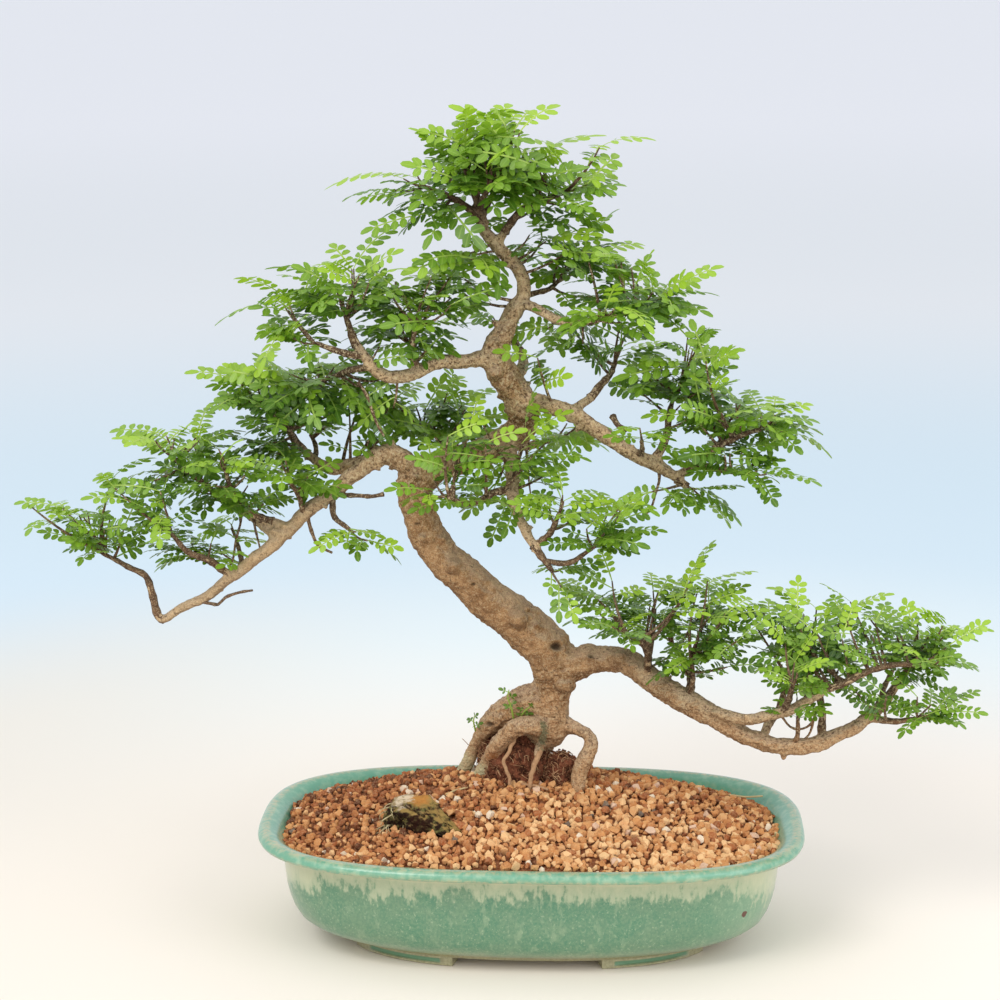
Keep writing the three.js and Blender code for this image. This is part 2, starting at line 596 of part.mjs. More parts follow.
function bladeSamples(place, stalk, end, halfWidth) {
  const samples = [];
  for (let u = 5; u <= end; u += 4) {
    const across = u < stalk ? [0] : [-halfWidth, -halfWidth / 2, 0, halfWidth / 2, halfWidth];
    samples.push(...across.map((v) => place(u, v)));
  }
  return samples;
}

// A spray of pinnate leaves that carry on from a twig's end, spread and arch over.
// The first leaf has the longest stalk, and the others are rooted in it.
const UP = new THREE.Vector3(0, 0, 1);
function makeSpray(points, owner, leafCount) {
  const curve = limbCurve(points);
  const heading = curve.getTangent(1);
  const start = curve.getPoint(1).addScaledVector(heading, GAP);
  const outward = new THREE.Vector3(start.x + 10, start.y - 15, 0).normalize();
  const held = [];
  let spray;
  for (let leaf = 0; leaf < leafCount; leaf += 1) {
    const pairs = leaf === 0 || random() < 0.02 ? 3 : 2;
    const stalk = leaf === 0 ? LONG_STALK : LEAF_STALK;
    for (let attempt = 0; attempt < 80; attempt += 1) {
      const along = heading.clone().addScaledVector(outward, 0.15);
      const wander = attempt * 0.03;
      if (leaf === 0) {
        along.applyAxisAngle(UP, randomBetween(-wander, wander));
        along.addScaledVector(UP, randomBetween(-0.1, 0.3));
      } else {
        along.z *= 0.4;
        along.normalize().applyAxisAngle(UP, (leaf % 2 ? 1 : -1) * randomBetween(0.6, 1.3 + wander));
        along.addScaledVector(UP, randomBetween(0.1, 0.7));
      }
      along.normalize();
      const skyward = UP.clone().addScaledVector(outward, randomBetween(-0.2, 0.5));
      skyward.y -= randomBetween(0, 0.4);
      const scale = randomBetween(0.9, 1.1);
      const base = leaf === 0 ? start : held[0].clone().addScaledVector(heading, 1.6 * (leaf - 1) - 1.5);
      const place = bladeSurface(base, along, skyward, randomBetween(0.003, 0.008));
      const length = (stalk + pairs * LEAFLET_PITCH + LEAFLET_LENGTH) * scale;
      const samples = bladeSamples(place, stalk * scale, length, (LEAFLET_LENGTH + 1) * scale);
      const touching = held.slice(2).some((p) => samples.some((q) => q.distanceTo(p) < 3));
      if (!touching && isClear(samples, owner)) {
        const blade = makeLeaf(place, stalk, pairs, scale);
        spray = spray ? spray.add(blade) : blade;
        held.push(...samples);
        break;
      }
    }
    if (!spray) throw new Error(`no room for ${owner}`);
  }
  crowd(held.map((at) => ({ at, radius: 0 })), owner);
  return spray;
}

// Colours
const GLAZE = { color: 0x4fa384, roughness: 0.22, metalness: 0 };
const GRANULES = { color: 0xb1723f, roughness: 0.95, metalness: 0 };
const PEAT = { color: 0x4f2a1a, roughness: 1, metalness: 0 };
const BARK = { color: 0x8c7355, roughness: 0.9, metalness: 0 };
const MOSSY_WOOD = { color: 0x7a6a3c, roughness: 0.95, metalness: 0 };
const OLD_LEAF = { color: 0x2f6b22, roughness: 0.5, metalness: 0 };
const YOUNG_LEAF = { color: 0x74a832, roughness: 0.5, metalness: 0 };
const NET = { color: 0x2b2b2b, roughness: 0.6, metalness: 0 };

const bonsai = new THREE.Group();
function addPiece(name, solid, look) {
  const mesh = new THREE.Mesh(geometryFrom(solid), new THREE.MeshStandardMaterial(look));
  mesh.name = name;
  bonsai.add(mesh);
}

const rootRoom = rootClearance();
addPiece("pot", makePot(), GLAZE);
addPiece("drain_mesh_left", makeDrainMesh(-1), NET);
addPiece("drain_mesh_right", makeDrainMesh(1), NET);
addPiece("soil", makeSoil(rootRoom), GRANULES);
addPiece("root_ball", largestPiece(rootBallLump(0).subtract(rootRoom)), PEAT);
addPiece("root_stub", limbSolid(STUB), MOSSY_WOOD);
addPiece("trunk", makeTrunk(), BARK);

const twigs = {};
TWIGS.forEach((twig, i) => {
  twigs[`${twig[0]}_twig_${i + 1}`] = twigPoints(twig);
});
const shootBearers = { top: TRUNK.upper_trunk, ...BRANCHES, ...twigs };
for (const points of Object.values(ROOTS)) {
  crowdWithLimb(points, "root");
}
for (const [name, points] of Object.entries({ ...TRUNK, ...BRANCHES, ...twigs })) {
  crowdWithLimb(points, name === "upper_trunk" ? "top" : name);
}
for (const [name, points] of Object.entries(shootBearers)) {
  const look = random() < 0.5 ? OLD_LEAF : YOUNG_LEAF;
  addPiece(`spray_${name}`, makeSpray(points, name, 2), look);
}

// The group's origin is the middle of its box at the level the feet stand on
const box = new THREE.Box3().setFromObject(bonsai, true);
const middle = box.getCenter(new THREE.Vector3());
bonsai.position.set(-middle.x, -middle.y, -box.min.z);

export default bonsai;
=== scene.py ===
# %% [markdown]
# # A Chinese pepper bonsai in an oval glazed pot
#
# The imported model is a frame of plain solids: a pot, the soil in it, the wood of the tree and a spray of
# leaves at the end of each limb. This lesson puts a finer piece in the place of each solid and gives it a
# finish. Lengths are in millimetres from the middle of the pot, with the table at height 0, until `metres`
# turns them into Blender's own unit. It could all be sculpted by hand, but rules with a fixed seed give the
# same tree at every run.

import math
import random

import bmesh
import bpy
import numpy as np
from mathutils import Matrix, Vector, kdtree, noise


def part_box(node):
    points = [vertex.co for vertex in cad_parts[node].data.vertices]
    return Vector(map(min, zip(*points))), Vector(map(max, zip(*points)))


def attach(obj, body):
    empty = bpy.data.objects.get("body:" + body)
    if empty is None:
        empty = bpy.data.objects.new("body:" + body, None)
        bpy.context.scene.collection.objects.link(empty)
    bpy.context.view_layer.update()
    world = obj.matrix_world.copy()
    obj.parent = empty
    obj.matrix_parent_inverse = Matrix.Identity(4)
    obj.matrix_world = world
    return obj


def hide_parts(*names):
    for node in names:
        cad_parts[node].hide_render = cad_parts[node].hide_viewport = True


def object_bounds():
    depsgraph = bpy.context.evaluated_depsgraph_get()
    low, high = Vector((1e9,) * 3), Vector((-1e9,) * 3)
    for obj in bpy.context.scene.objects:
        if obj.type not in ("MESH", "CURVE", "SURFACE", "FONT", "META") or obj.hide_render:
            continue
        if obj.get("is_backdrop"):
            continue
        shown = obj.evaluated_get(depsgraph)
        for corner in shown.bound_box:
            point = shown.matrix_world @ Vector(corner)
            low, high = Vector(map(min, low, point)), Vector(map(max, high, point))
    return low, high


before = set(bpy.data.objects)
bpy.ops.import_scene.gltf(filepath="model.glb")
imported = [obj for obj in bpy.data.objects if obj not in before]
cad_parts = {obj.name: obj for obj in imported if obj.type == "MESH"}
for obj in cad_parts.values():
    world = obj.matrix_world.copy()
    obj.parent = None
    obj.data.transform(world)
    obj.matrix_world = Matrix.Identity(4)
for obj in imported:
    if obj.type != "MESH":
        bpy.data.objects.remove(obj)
CAD_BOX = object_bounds()
POT_LOW, POT_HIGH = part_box("pot")
MIDDLE = np.array([(POT_LOW.x + POT_HIGH.x) / 2, (POT_LOW.y + POT_HIGH.y) / 2, POT_LOW.z])
print("pot", [round(1000 * side, 1) for side in POT_HIGH - POT_LOW], "mm,", len(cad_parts), "nodes")


def metres(points):
    """Millimetres from the pot's middle, as metres in the frame."""
    return np.asarray(points, float) * 0.001 + MIDDLE


# %% [markdown]
# ## Shapes in heaps
#
# Leaves, stones and twigs come in hundreds, and an object for each would be slow and hard to handle. A heap
# gathers many small shapes in one mesh. A shape may carry tones, numbers from 0 to 1 at its points such as
# how young a leaf is, which the finishes read as attributes. Copies placed by a modifier would be lighter,
# but real points survive every export.

# %% A heap of shapes and a piece made from it
class Heap:
    """Points, faces and tones of many shapes that become one piece."""

    def __init__(self, *tones):
        self.points = []
        self.faces = []
        self.tones = {label: [] for label in tones}
        self.count = 0

    def add(self, points, faces, **tones):
        points = np.asarray(points, float)
        self.points.append(points)
        self.faces += [[i + self.count for i in face] for face in faces]
        for label, rows in self.tones.items():
            rows.append(np.broadcast_to(tones.get(label, 0.0), len(points)))
        self.count += len(points)


def add_piece(name, heap, finish, replaced=(), smooth=True, crease=None):
    """Makes a heap into a piece of the bonsai that rides on its one body."""
    mesh = bpy.data.meshes.new(name)
    mesh.from_pydata(metres(np.concatenate(heap.points)), [], heap.faces)
    for label, rows in heap.tones.items():
        layer = mesh.attributes.new(label, "FLOAT", "POINT")
        layer.data.foreach_set("value", np.concatenate(rows).astype(np.float32))
    mesh.polygons.foreach_set("use_smooth", [smooth] * len(mesh.polygons))
    if crease:
        mesh.set_sharp_from_angle(angle=math.radians(crease))
    mesh.materials.append(finish)
    mesh.update()
    piece = bpy.data.objects.new(name, mesh)
    bpy.context.scene.collection.objects.link(piece)
    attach(piece, "root")
    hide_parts(*replaced)
    mesh.calc_loop_triangles()
    print(f"{name}: {len(mesh.loop_triangles)} triangles")
    return piece


# %% [markdown]
# ## Tubes for everything that grows
#
# Trunk, roots, twigs and leaf stalks are all tubes that follow a line and get thinner. A bevelled curve
# would give them in one step, but its cross-section is the same all round. Rings of points are made here
# instead, so that bark can swell and groove a ring wherever it likes.

# %% Rings and tubes
# Where the first ring of a tube starts; any direction will do that no limb follows
FIRST_ACROSS = np.array([0.31, -0.83, 0.46])


def unit(vector):
    """The same direction with the length 1."""
    vector = np.asarray(vector, float)
    return vector / np.linalg.norm(vector)


def skin(rings):
    """Closes a stack of equal rings into one shell, with a flat cap at each end."""
    sides = len(rings[0])
    faces = []
    for i in range(len(rings) - 1):
        for k in range(sides):
            low, high = i * sides + k, i * sides + (k + 1) % sides
            faces.append([low, high, high + sides, low + sides])
    last = (len(rings) - 1) * sides
    faces.append(list(range(sides))[::-1])
    faces.append([last + k for k in range(sides)])
    return np.concatenate(rings), faces


def tube(path, radii, sides, shape=None):
    """Rings of points round a path with closed ends; shape(ring, turn) may swell a ring's points."""
    path = np.asarray(path, float)
    along = np.gradient(path, axis=0)
    along /= np.linalg.norm(along, axis=1)[:, None]
    across = FIRST_ACROSS
    turns = 2 * math.pi * np.arange(sides) / sides
    rings = []
    for i, (centre, heading, radius) in enumerate(zip(path, along, radii)):
        across = unit(across - heading * (across @ heading))
        other = np.cross(heading, across)
        reach = radius * (np.ones(sides) if shape is None else np.array([shape(i, turn) for turn in turns]))
        ring = np.outer(reach * np.cos(turns), across) + np.outer(reach * np.sin(turns), other)
        rings.append(centre + ring)
    return skin(rings)


def clamp(value, top=1.0):
    return max(0.0, min(top, value))


def curve_piece(four, t):
    """Point between the middle two of four points on a smooth curve that keeps off loops."""
    before, start, end, after = four
    gaps = [max(np.linalg.norm(b - a), 1e-6) ** 0.5 for a, b in zip(four, four[1:])]
    out = (start - before) / gaps[0] - (end - before) / (gaps[0] + gaps[1]) + (end - start) / gaps[1]
    into = (end - start) / gaps[1] - (after - start) / (gaps[1] + gaps[2]) + (after - end) / gaps[2]
    out *= gaps[1]
    into *= gaps[1]
    square = 3 * (end - start) - 2 * out - into
    cube = 2 * (start - end) + out + into
    return start + out * t + square * t**2 + cube * t**3


def limb_knots(rows):
    """A limb's points, with one more before its root and one past its tip."""
    rows = np.asarray(rows, float)
    return np.vstack([2 * rows[0] - rows[1], rows, 2 * rows[-1] - rows[-2]])[:, :3]


def limb_path(rows, step):
    """Points about step millimetres apart along a limb, with the radius at each."""
    rows = np.asarray(rows, float)
    knots = limb_knots(rows)
    path, radii = [], []
    for k in range(len(rows) - 1):
        parts = max(1, round(np.linalg.norm(knots[k + 2] - knots[k + 1]) / step))
        for t in np.arange(parts) / parts:
            path.append(curve_piece(knots[k : k + 4], t))
            radii.append(rows[k][3] * (1 - t) + rows[k + 1][3] * t)
    path.append(rows[-1][:3])
    radii.append(rows[-1][3])
    return np.array(path), np.array(radii)


# %% [markdown]
# ## Shader maths as plain expressions
#
# A finish is a small calculation that Blender repeats at every point of a surface. Wiring Math nodes by hand
# hides the formula, so `Value` wraps a node's output and lets Python's own signs add the nodes. Only numbers
# go through Math nodes. Colours go through Mix nodes, because a Math node turns them grey.

# %% The maker of finishes
def tint(code):
    """A screen colour such as 'a07f5e' as the linear numbers that shaders use."""
    parts = [int(code[i : i + 2], 16) / 255 for i in (0, 2, 4)]
    return (*[c / 12.92 if c < 0.0405 else ((c + 0.055) / 1.055) ** 2.4 for c in parts], 1.0)


class Value:
    """What a node gives out. Arithmetic on it adds Math nodes."""

    def __init__(self, finish, socket):
        self.finish = finish
        self.socket = socket

    def maths(self, operation, first, second):
        return self.finish.node("Math", {"operation": operation}, {0: first, 1: second})

    def __add__(self, other):
        return self.maths("ADD", self, other)

    def __sub__(self, other):
        return self.maths("SUBTRACT", self, other)

    def __rsub__(self, other):
        return self.maths("SUBTRACT", other, self)

    def __mul__(self, other):
        return self.maths("MULTIPLY", self, other)

    __radd__ = __add__
    __rmul__ = __mul__


class Finish:
    """A material of nodes round one Principled shader, whose steady values are given by name."""

    def __init__(self, name, **steady):
        self.material = bpy.data.materials.new(name)
        self.material.use_nodes = True
        self.tree = self.material.node_tree
        self.shader = self.tree.nodes["Principled BSDF"]
        for label, value in steady.items():
            self.shader.inputs[label.replace("_", " ")].default_value = value
        self.place = self.node("TexCoord", output="Object")

    def node(self, kind, settings=None, sockets=None, output=0):
        """Adds a node: its type, its settings, then the values or links of its sockets."""
        made = self.tree.nodes.new("ShaderNode" + kind)
        for label, value in (settings or {}).items():
            setattr(made, label, value)
        for label, value in (sockets or {}).items():
            self.feed(made.inputs[label], value)
        return Value(self, made.outputs[output])

    def feed(self, socket, value):
        if isinstance(value, Value):
            self.tree.links.new(value.socket, socket)
        else:
            socket.default_value = value

    def tone(self, label):
        return self.node("Attribute", {"attribute_name": label}, output="Fac")

    def blots(self, size, detail=3.0, stretch=(1, 1, 1), roughness=0.55):
        """A cloudy pattern from 0 to 1 whose blots are about size millimetres across."""
        sockets = {0: self.place, 1: tuple(1000 / size / s for s in stretch)}
        spread = self.node("VectorMath", {"operation": "MULTIPLY"}, sockets)
        sockets = {"Vector": spread, "Scale": 1.0, "Detail": detail, "Roughness": roughness}
        return self.node("TexNoise", {}, sockets)

    def step(self, value, low, high):
        """0 where value is below low and 1 where it is above high, with a soft change between."""
        settings = {"interpolation_type": "SMOOTHSTEP"}
        return self.node("MapRange", settings, {"Value": value, "From Min": low, "From Max": high})

    def blend(self, share, first, second):
        """The first colour where share is 0 and the second where it is 1."""
        first, second = [tint(c) if isinstance(c, str) else c for c in (first, second)]
        return self.node("Mix", {"data_type": "RGBA"}, {0: share, 6: first, 7: second}, output=2)

    def layers(self, colour, rows):
        """Lays colours over a first one, each from nothing at its value's low to its share at high."""
        for value, low, high, share, top in rows:
            colour = self.blend(self.step(value, low, high) * share, colour, top)
        return colour

    def part(self, vector, axis):
        return self.node("SeparateXYZ", {}, {0: vector}, output=axis)

    def facing_up(self):
        """1 where the surface looks up, 0 on a wall and -1 underneath."""
        return self.part(self.node("NewGeometry", output="Normal"), 2)

    def distance(self, spot):
        """How far a place is from a spot, in metres."""
        return self.node("VectorMath", {"operation": "DISTANCE"}, {0: self.place, 1: spot}, output="Value")

    def let_through(self, share, colour):
        """Mixes in the light that shines through from behind, as it does through a thin leaf."""
        through = self.node("BsdfTranslucent", {}, {"Color": tint(colour)})
        front = Value(self, self.shader.outputs[0])
        mixed = self.node("MixShader", {}, {0: share, 1: front, 2: through})
        self.feed(self.tree.nodes["Material Output"].inputs["Surface"], mixed)

    def done(self, colour, roughness=None, height=None, depth=0.0005, strength=1.0):
        """Feeds the shader and returns the material; height is in units of depth, in metres."""
        self.feed(self.shader.inputs["Base Color"], colour)
        if roughness is not None:
            self.feed(self.shader.inputs["Roughness"], roughness)
        if height is not None:
            bump = self.node("Bump", {}, {"Strength": strength, "Distance": depth, "Height": height})
            self.feed(self.shader.inputs["Normal"], bump)
        return self.material


# %% [markdown]
# ## The limbs
#
# Each limb is a list of points from its root to its tip, read off the tree's picture: x to the right, y away
# from us, z up, and the radius there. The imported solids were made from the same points, so what grows on
# them here stays on the real wood. Reading them back from the solid's mesh would only give faceted copies.

# %% The points of the wood
TRUNK = {
    "trunk": [
        (7, 33, 115, 6.5), (7, 32, 123, 11.5), (9, 31, 133, 16), (9, 30, 144, 16), (11, 29, 155, 14.6),
        (14, 27, 166, 14), (15, 26, 175, 14.8), (14, 24, 186, 16.5), (-1, 22, 203, 15.8),
        (-19, 20, 219, 14.8), (-38, 18, 236, 13.4), (-57, 15, 255, 12.8), (-72, 12, 276, 12),
        (-78, 10, 297, 11.6), (-80, 10, 314, 12), (-75, 13, 326, 9),
    ],
    "upper_trunk": [
        (-79, 10, 311, 11.5), (-66, 18, 318, 10.5), (-43, 28, 325, 10), (-21, 30, 336, 10),
        (-7, 24, 350, 10.5), (-10, 16, 367, 10.5), (-19, 10, 383, 10), (-25, 8, 398, 9.5), (-21, 8, 411, 8),
        (-13, 10, 425, 6.3), (-7, 12, 437, 5.3), (-7, 14, 447, 5), (-14, 15, 458, 4.8), (-25, 15, 468, 4.5),
        (-34, 15, 480, 4.2), (-37, 15, 494, 3.4), (-40, 12, 508, 2.6),
    ],
}
ROOTS = {
    "front_left": [
        (12, 24, 133, 7), (3, 15, 139, 7), (-6, 11, 142, 7), (-13, 12, 138, 6.9), (-20, 16, 130, 6.8),
        (-26, 22, 119, 6.6), (-31, 28, 109, 6.4), (-35, 34, 98, 6), (-38, 38, 87, 5),
    ],
    "left": [
        (9, 30, 154, 14), (-4, 31, 151, 12.5), (-16, 33, 144, 10.5), (-27, 35, 136, 8.4), (-35, 37, 128, 6),
        (-41, 40, 117, 4), (-46, 43, 105, 4.8), (-52, 46, 92, 4.8),
    ],
    "right_arch": [
        (16, 27, 139, 7), (28, 21, 137, 5), (35, 18, 135, 4.7), (39, 16, 132, 4.8), (40, 14, 126, 5.4),
        (37, 12, 119, 6.2), (33, 10, 111, 5.8), (31, 8, 103, 5.4), (30, 7, 90, 4.5),
    ],
    "back_right": [(4, 40, 134, 9), (4, 50, 118, 7), (5, 60, 104, 6), (8, 70, 86, 4)],
    "back": [(4, 38, 132, 10), (-8, 50, 116, 8), (-20, 62, 100, 6.5), (-30, 71, 82, 4)],
    "thin_left": [
        (-13, 14, 130, 2.4), (-16, 11, 122, 1.8), (-19, 8, 116, 1.8), (-16, 5, 107, 1.8), (-13, 3, 90, 1.5),
    ],
    "thin_middle": [
        (5, 22, 124, 3.4), (4, 10, 119, 2.5), (1, 6, 112, 2.1), (-1, 3, 103, 1.9), (-1, 2, 86, 1.6),
    ],
}
BRANCHES = {
    "left": [
        (-79, 10, 318, 9), (-94, 6, 329, 7.5), (-110, 2, 324, 6.5), (-122, -2, 315, 5.5), (-134, -4, 304, 5),
        (-146, -6, 296, 5), (-163, -8, 281, 5), (-186, -10, 260, 4.6), (-204, -10, 246, 4.2),
        (-222, -9, 232, 3.8), (-238, -8, 224, 3.3), (-251, -6, 218, 3.1), (-256, -4, 232, 2.7),
        (-261, -3, 247, 2.4), (-272, -4, 253, 2), (-289, -6, 263, 1.4),
    ],
    "left_rise": [
        (-107, 4, 325, 6), (-123, 12, 320, 5.2), (-140, 20, 318, 4.2), (-155, 26, 327, 3.4),
        (-167, 30, 341, 2.6), (-179, 32, 354, 1.6),
    ],
    "left_fork_front": [
        (-164, -7, 283, 3.6), (-181, -4, 287, 3), (-192, -14, 298, 2.4), (-198, -24, 311, 1.9),
        (-201, -30, 325, 1.4),
    ],
    "left_fork_back": [
        (-172, -8, 276, 3.6), (-188, 4, 286, 3.2), (-203, 14, 291, 2.6), (-216, 20, 300, 2),
        (-226, 24, 308, 1.5),
    ],
    "left_fork_rise": [(-206, 15, 293, 2.6), (-224, 9, 309, 2), (-241, 3, 327, 1.5)],
    "left_fork_low": [
        (-201, -10, 249, 3), (-216, -18, 261, 2.6), (-230, -24, 270, 2.2), (-238, -28, 282, 1.5),
    ],
    "left_spur": [(-134, -4, 303, 2.6), (-131, -14, 290, 2), (-120, -22, 284, 1.5)],
    "middle_left": [
        (-24, 8, 396, 6.5), (-41, 2, 394, 5.6), (-61, -6, 393, 5.2), (-79, -14, 387, 5),
        (-91, -18, 386, 4.8), (-102, -20, 391, 4.3), (-111, -20, 402, 3.8), (-117, -18, 414, 2.8),
        (-122, -14, 426, 1.6),
    ],
    "middle_left_front": [(-109, -20, 400, 3), (-124, -32, 405, 2.4), (-139, -42, 411, 1.5)],
    "middle_left_low": [(-104, -20, 393, 2.8), (-122, -8, 388, 2.3), (-142, 2, 378, 1.5)],
    "middle_left_up": [(-74, -12, 389, 2.8), (-79, -16, 404, 2.3), (-76, -14, 420, 1.5)],
    "right": [
        (-10, 14, 367, 7), (8, 6, 365, 6.3), (30, -2, 357, 6), (54, -6, 342, 5.5), (75, -8, 330, 5),
        (90, -8, 322, 4.2), (103, -10, 313, 2.6),
    ],
    "right_rise": [(79, -8, 328, 3.4), (86, 0, 340, 3), (90, 10, 353, 2.4), (93, 18, 366, 1.5)],
    "right_reach": [
        (95, -8, 320, 3.4), (109, -12, 329, 3), (120, -14, 339, 2.6), (134, -14, 347, 2.2),
        (150, -12, 353, 1.5),
    ],
    "right_low": [(107, -11, 328, 2.6), (117, -17, 327, 2.2), (129, -21, 325, 1.8), (142, -24, 325, 1.4)],
    "right_back": [(25, -2, 360, 3.8), (38, 10, 369, 3.2), (48, 24, 378, 2.6), (54, 38, 388, 1.6)],
    "right_up": [
        (-10, 10, 431, 4.4), (3, 4, 428, 3.8), (18, -2, 422, 3.3), (36, -6, 421, 2.8), (55, -8, 427, 2.2),
        (72, -8, 430, 1.5),
    ],
    "right_up_front": [(30, -5, 421, 2.6), (38, -20, 424, 2.1), (46, -34, 430, 1.4)],
    "apex_left": [(-33, 15, 480, 3.2), (-43, 10, 493, 2.7), (-56, 6, 502, 2.2), (-70, 2, 508, 1.5)],
    "apex_right": [
        (-25, 15, 468, 3.6), (-14, 12, 484, 3), (-4, 8, 495, 2.4), (8, 6, 500, 2), (21, 4, 505, 1.5),
    ],
    "apex_back": [(-36, 15, 486, 2.8), (-30, 28, 498, 2.3), (-26, 42, 508, 1.5)],
    "apex_front": [(-37, 15, 492, 2.6), (-32, -2, 502, 2.1), (-28, -16, 508, 1.4)],
    "falling_front": [
        (-17, 26, 334, 6.5), (-14, 6, 320, 5.4), (-12, -12, 306, 4.6), (-8, -22, 296, 4),
        (-2, -30, 284, 3.6), (6, -36, 273, 3), (14, -42, 262, 1.6),
    ],
    "falling_front_up": [(3, -33, 276, 2.8), (13, -42, 288, 2.3), (19, -50, 303, 1.5)],
    "falling_front_side": [(9, -38, 268, 2.2), (27, -44, 269, 2), (41, -46, 279, 1.4)],
    "falling_front_left": [
        (-13, -8, 310, 3), (-25, -18, 308, 2.6), (-40, -26, 304, 2.1), (-56, -32, 309, 1.5),
    ],
    "back": [
        (-63, 20, 319, 6.5), (-60, 38, 324, 5.2), (-66, 56, 332, 4.2), (-80, 68, 339, 3.2),
        (-97, 76, 346, 1.8),
    ],
    "back_right_limb": [(-30, 30, 331, 6), (-20, 48, 328, 4.4), (-4, 62, 326, 3.2), (14, 72, 330, 1.8)],
    "back_upper": [
        (-14, 14, 375, 6), (-10, 34, 380, 4.8), (-8, 52, 386, 3.8), (-14, 66, 396, 2.8), (-24, 76, 404, 1.6),
    ],
    "low_right": [
        (13, 24, 182, 15), (29, 20, 182, 12.5), (44, 14, 187, 9.5), (61, 6, 189, 8.6), (76, 0, 182, 8.4),
        (91, -6, 172, 8.8), (107, -10, 165, 8.6), (121, -12, 157, 7.6), (138, -14, 147, 6.6),
        (155, -16, 140, 6.2), (177, -17, 137, 5.8), (194, -16, 141, 5.4), (213, -14, 148, 5),
        (228, -10, 157, 4.4), (239, -6, 168, 3.6), (247, -2, 181, 2.4), (256, 0, 194, 1.5),
    ],
    "low_right_low": [(226, -11, 155, 3), (241, -17, 156, 2.4), (257, -22, 160, 1.5)],
    "low_right_front": [
        (113, -10, 163, 4.6), (138, -24, 159, 4.2), (159, -32, 163, 4), (179, -36, 172, 3.6),
        (196, -36, 183, 3.2), (215, -34, 192, 2.8), (237, -30, 199, 2.2), (258, -26, 198, 1.5),
    ],
    "low_right_front_up": [(166, -33, 166, 3), (170, -46, 178, 2.5), (172, -56, 190, 1.5)],
    "low_right_middle": [
        (154, -14, 140, 3.4), (162, 2, 149, 3), (170, 16, 160, 2.5), (174, 28, 172, 1.6),
    ],
    "low_right_outer": [
        (195, -16, 141, 3.2), (196, -4, 156, 2.8), (194, 6, 170, 2.3), (192, 14, 184, 1.6),
    ],
    "low_right_back": [(107, -8, 166, 3.6), (107, 10, 176, 3), (102, 26, 186, 2.5), (94, 40, 194, 1.6)],
    "low_right_inner": [(78, 0, 180, 3.4), (79, -16, 197, 2.7), (73, -28, 210, 2.2), (64, -36, 218, 1.5)],
    "low_right_tip_back": [
        (228, -10, 157, 2.8), (235, 8, 164, 2.4), (241, 22, 172, 2), (247, 34, 181, 1.4),
    ],
}
# More twigs leave the branches part of the way along: branch, place along it, direction, length
TWIGS = [
    ("left", 0.36, (-0.2, -0.5, 0.85), 30),
    ("left", 0.5, (-0.2, 0.9, 0.4), 34),
    ("left_rise", 0.5, (-0.2, 0.8, 0.5), 26),
    ("left_rise", 0.72, (-0.1, -0.85, 0.5), 26),
    ("middle_left", 0.36, (-0.2, 0.85, 0.5), 32),
    ("right", 0.62, (0.1, -0.85, 0.5), 28),
    ("right_reach", 0.5, (0.2, 0.85, 0.5), 26),
    ("low_right", 0.62, (0.1, -0.4, 0.9), 26),
    ("low_right", 0.36, (0.1, -0.3, 0.95), 34),
    ("upper_trunk", 0.62, (0.6, 0.75, 0.2), 40),
]


def point_along(rows, place):
    knots = limb_knots(rows)
    k = min(int(place * (len(rows) - 1)), len(rows) - 2)
    return curve_piece(knots[k : k + 4], place * (len(rows) - 1) - k)


def twig_rows(branch, place, direction, length):
    root = point_along({**TRUNK, **BRANCHES}[branch], place)
    half = unit(direction) * length / 2
    bend = length * 0.08
    return [(*root, 2.2), (*(root + half + [bend, 0, -bend]), 1.9), (*(root + 2 * half), 1.4)]


SIDE_TWIGS = {f"{twig[0]}_twig_{i + 1}": twig_rows(*twig) for i, twig in enumerate(TWIGS)}
BEARERS = {"top": TRUNK["upper_trunk"], **BRANCHES, **SIDE_TWIGS}
ROOT_ROWS = {f"root_{name}": rows for name, rows in ROOTS.items()}
WOOD = {**TRUNK, **ROOT_ROWS, **BRANCHES, **SIDE_TWIGS}
print(len(WOOD), "limbs,", len(BEARERS), "of them bear leaves")

# %% [markdown]
# ## The pot
#
# A bonsai pot like this is pressed or slip-cast stoneware: an oval that is a little square, a thin wall that
# leans out, a rolled lip and four low feet, dipped in a turquoise glaze. It could be turned from a profile
# and stretched, but its corners are squarer at the lip than at the foot. So each ring of points is its own
# super-ellipse, whose squareness follows the profile, and the two drain holes are cut with a Boolean.

# %% The pot's profile
POT_SIDES = 144
HALF_LENGTH, HALF_DEPTH = 185, 116
# height, inset of the length, inset of the depth, squareness
OUTER_WALL = [
    (6, 100, 70, 2.4), (6, 59, 39, 2.5), (6.6, 57.2, 37.2, 2.5), (9, 55.6, 35.6, 2.5), (10, 50, 33.5, 2.5),
    (11.4, 43, 30.6, 2.6), (13.2, 37, 28, 2.6), (16.5, 31, 24.8, 2.7), (21, 26, 22, 2.8),
    (28, 22.4, 19.9, 2.9), (35, 20.2, 18.5, 2.95), (42, 18.7, 17.6, 3), (52, 17.5, 16.8, 3),
    (62, 16.6, 16, 3), (68, 15.6, 15, 3), (70.4, 13, 12.6, 3), (71.6, 8, 7.8, 3), (72.3, 3.6, 3.6, 3),
    (73.6, 1, 1, 3), (75.6, 0, 0, 3), (77.6, 0.4, 0.4, 3), (79.2, 1.8, 1.8, 3), (80, 4.2, 4.2, 3),
]
INNER_WALL = [
    (80, 6.6, 6.6, 3), (79.3, 9, 9, 3), (77.8, 11.6, 11.6, 3), (75.6, 14.2, 14.2, 3), (71, 17.8, 17.6, 3),
    (62, 22.5, 22, 3), (44, 27.6, 25, 2.9), (26, 33, 28, 2.8), (18, 41, 32, 2.7), (14, 49, 36, 2.6),
    (13, 56, 41, 2.5), (13, 110, 75, 2.3),
]


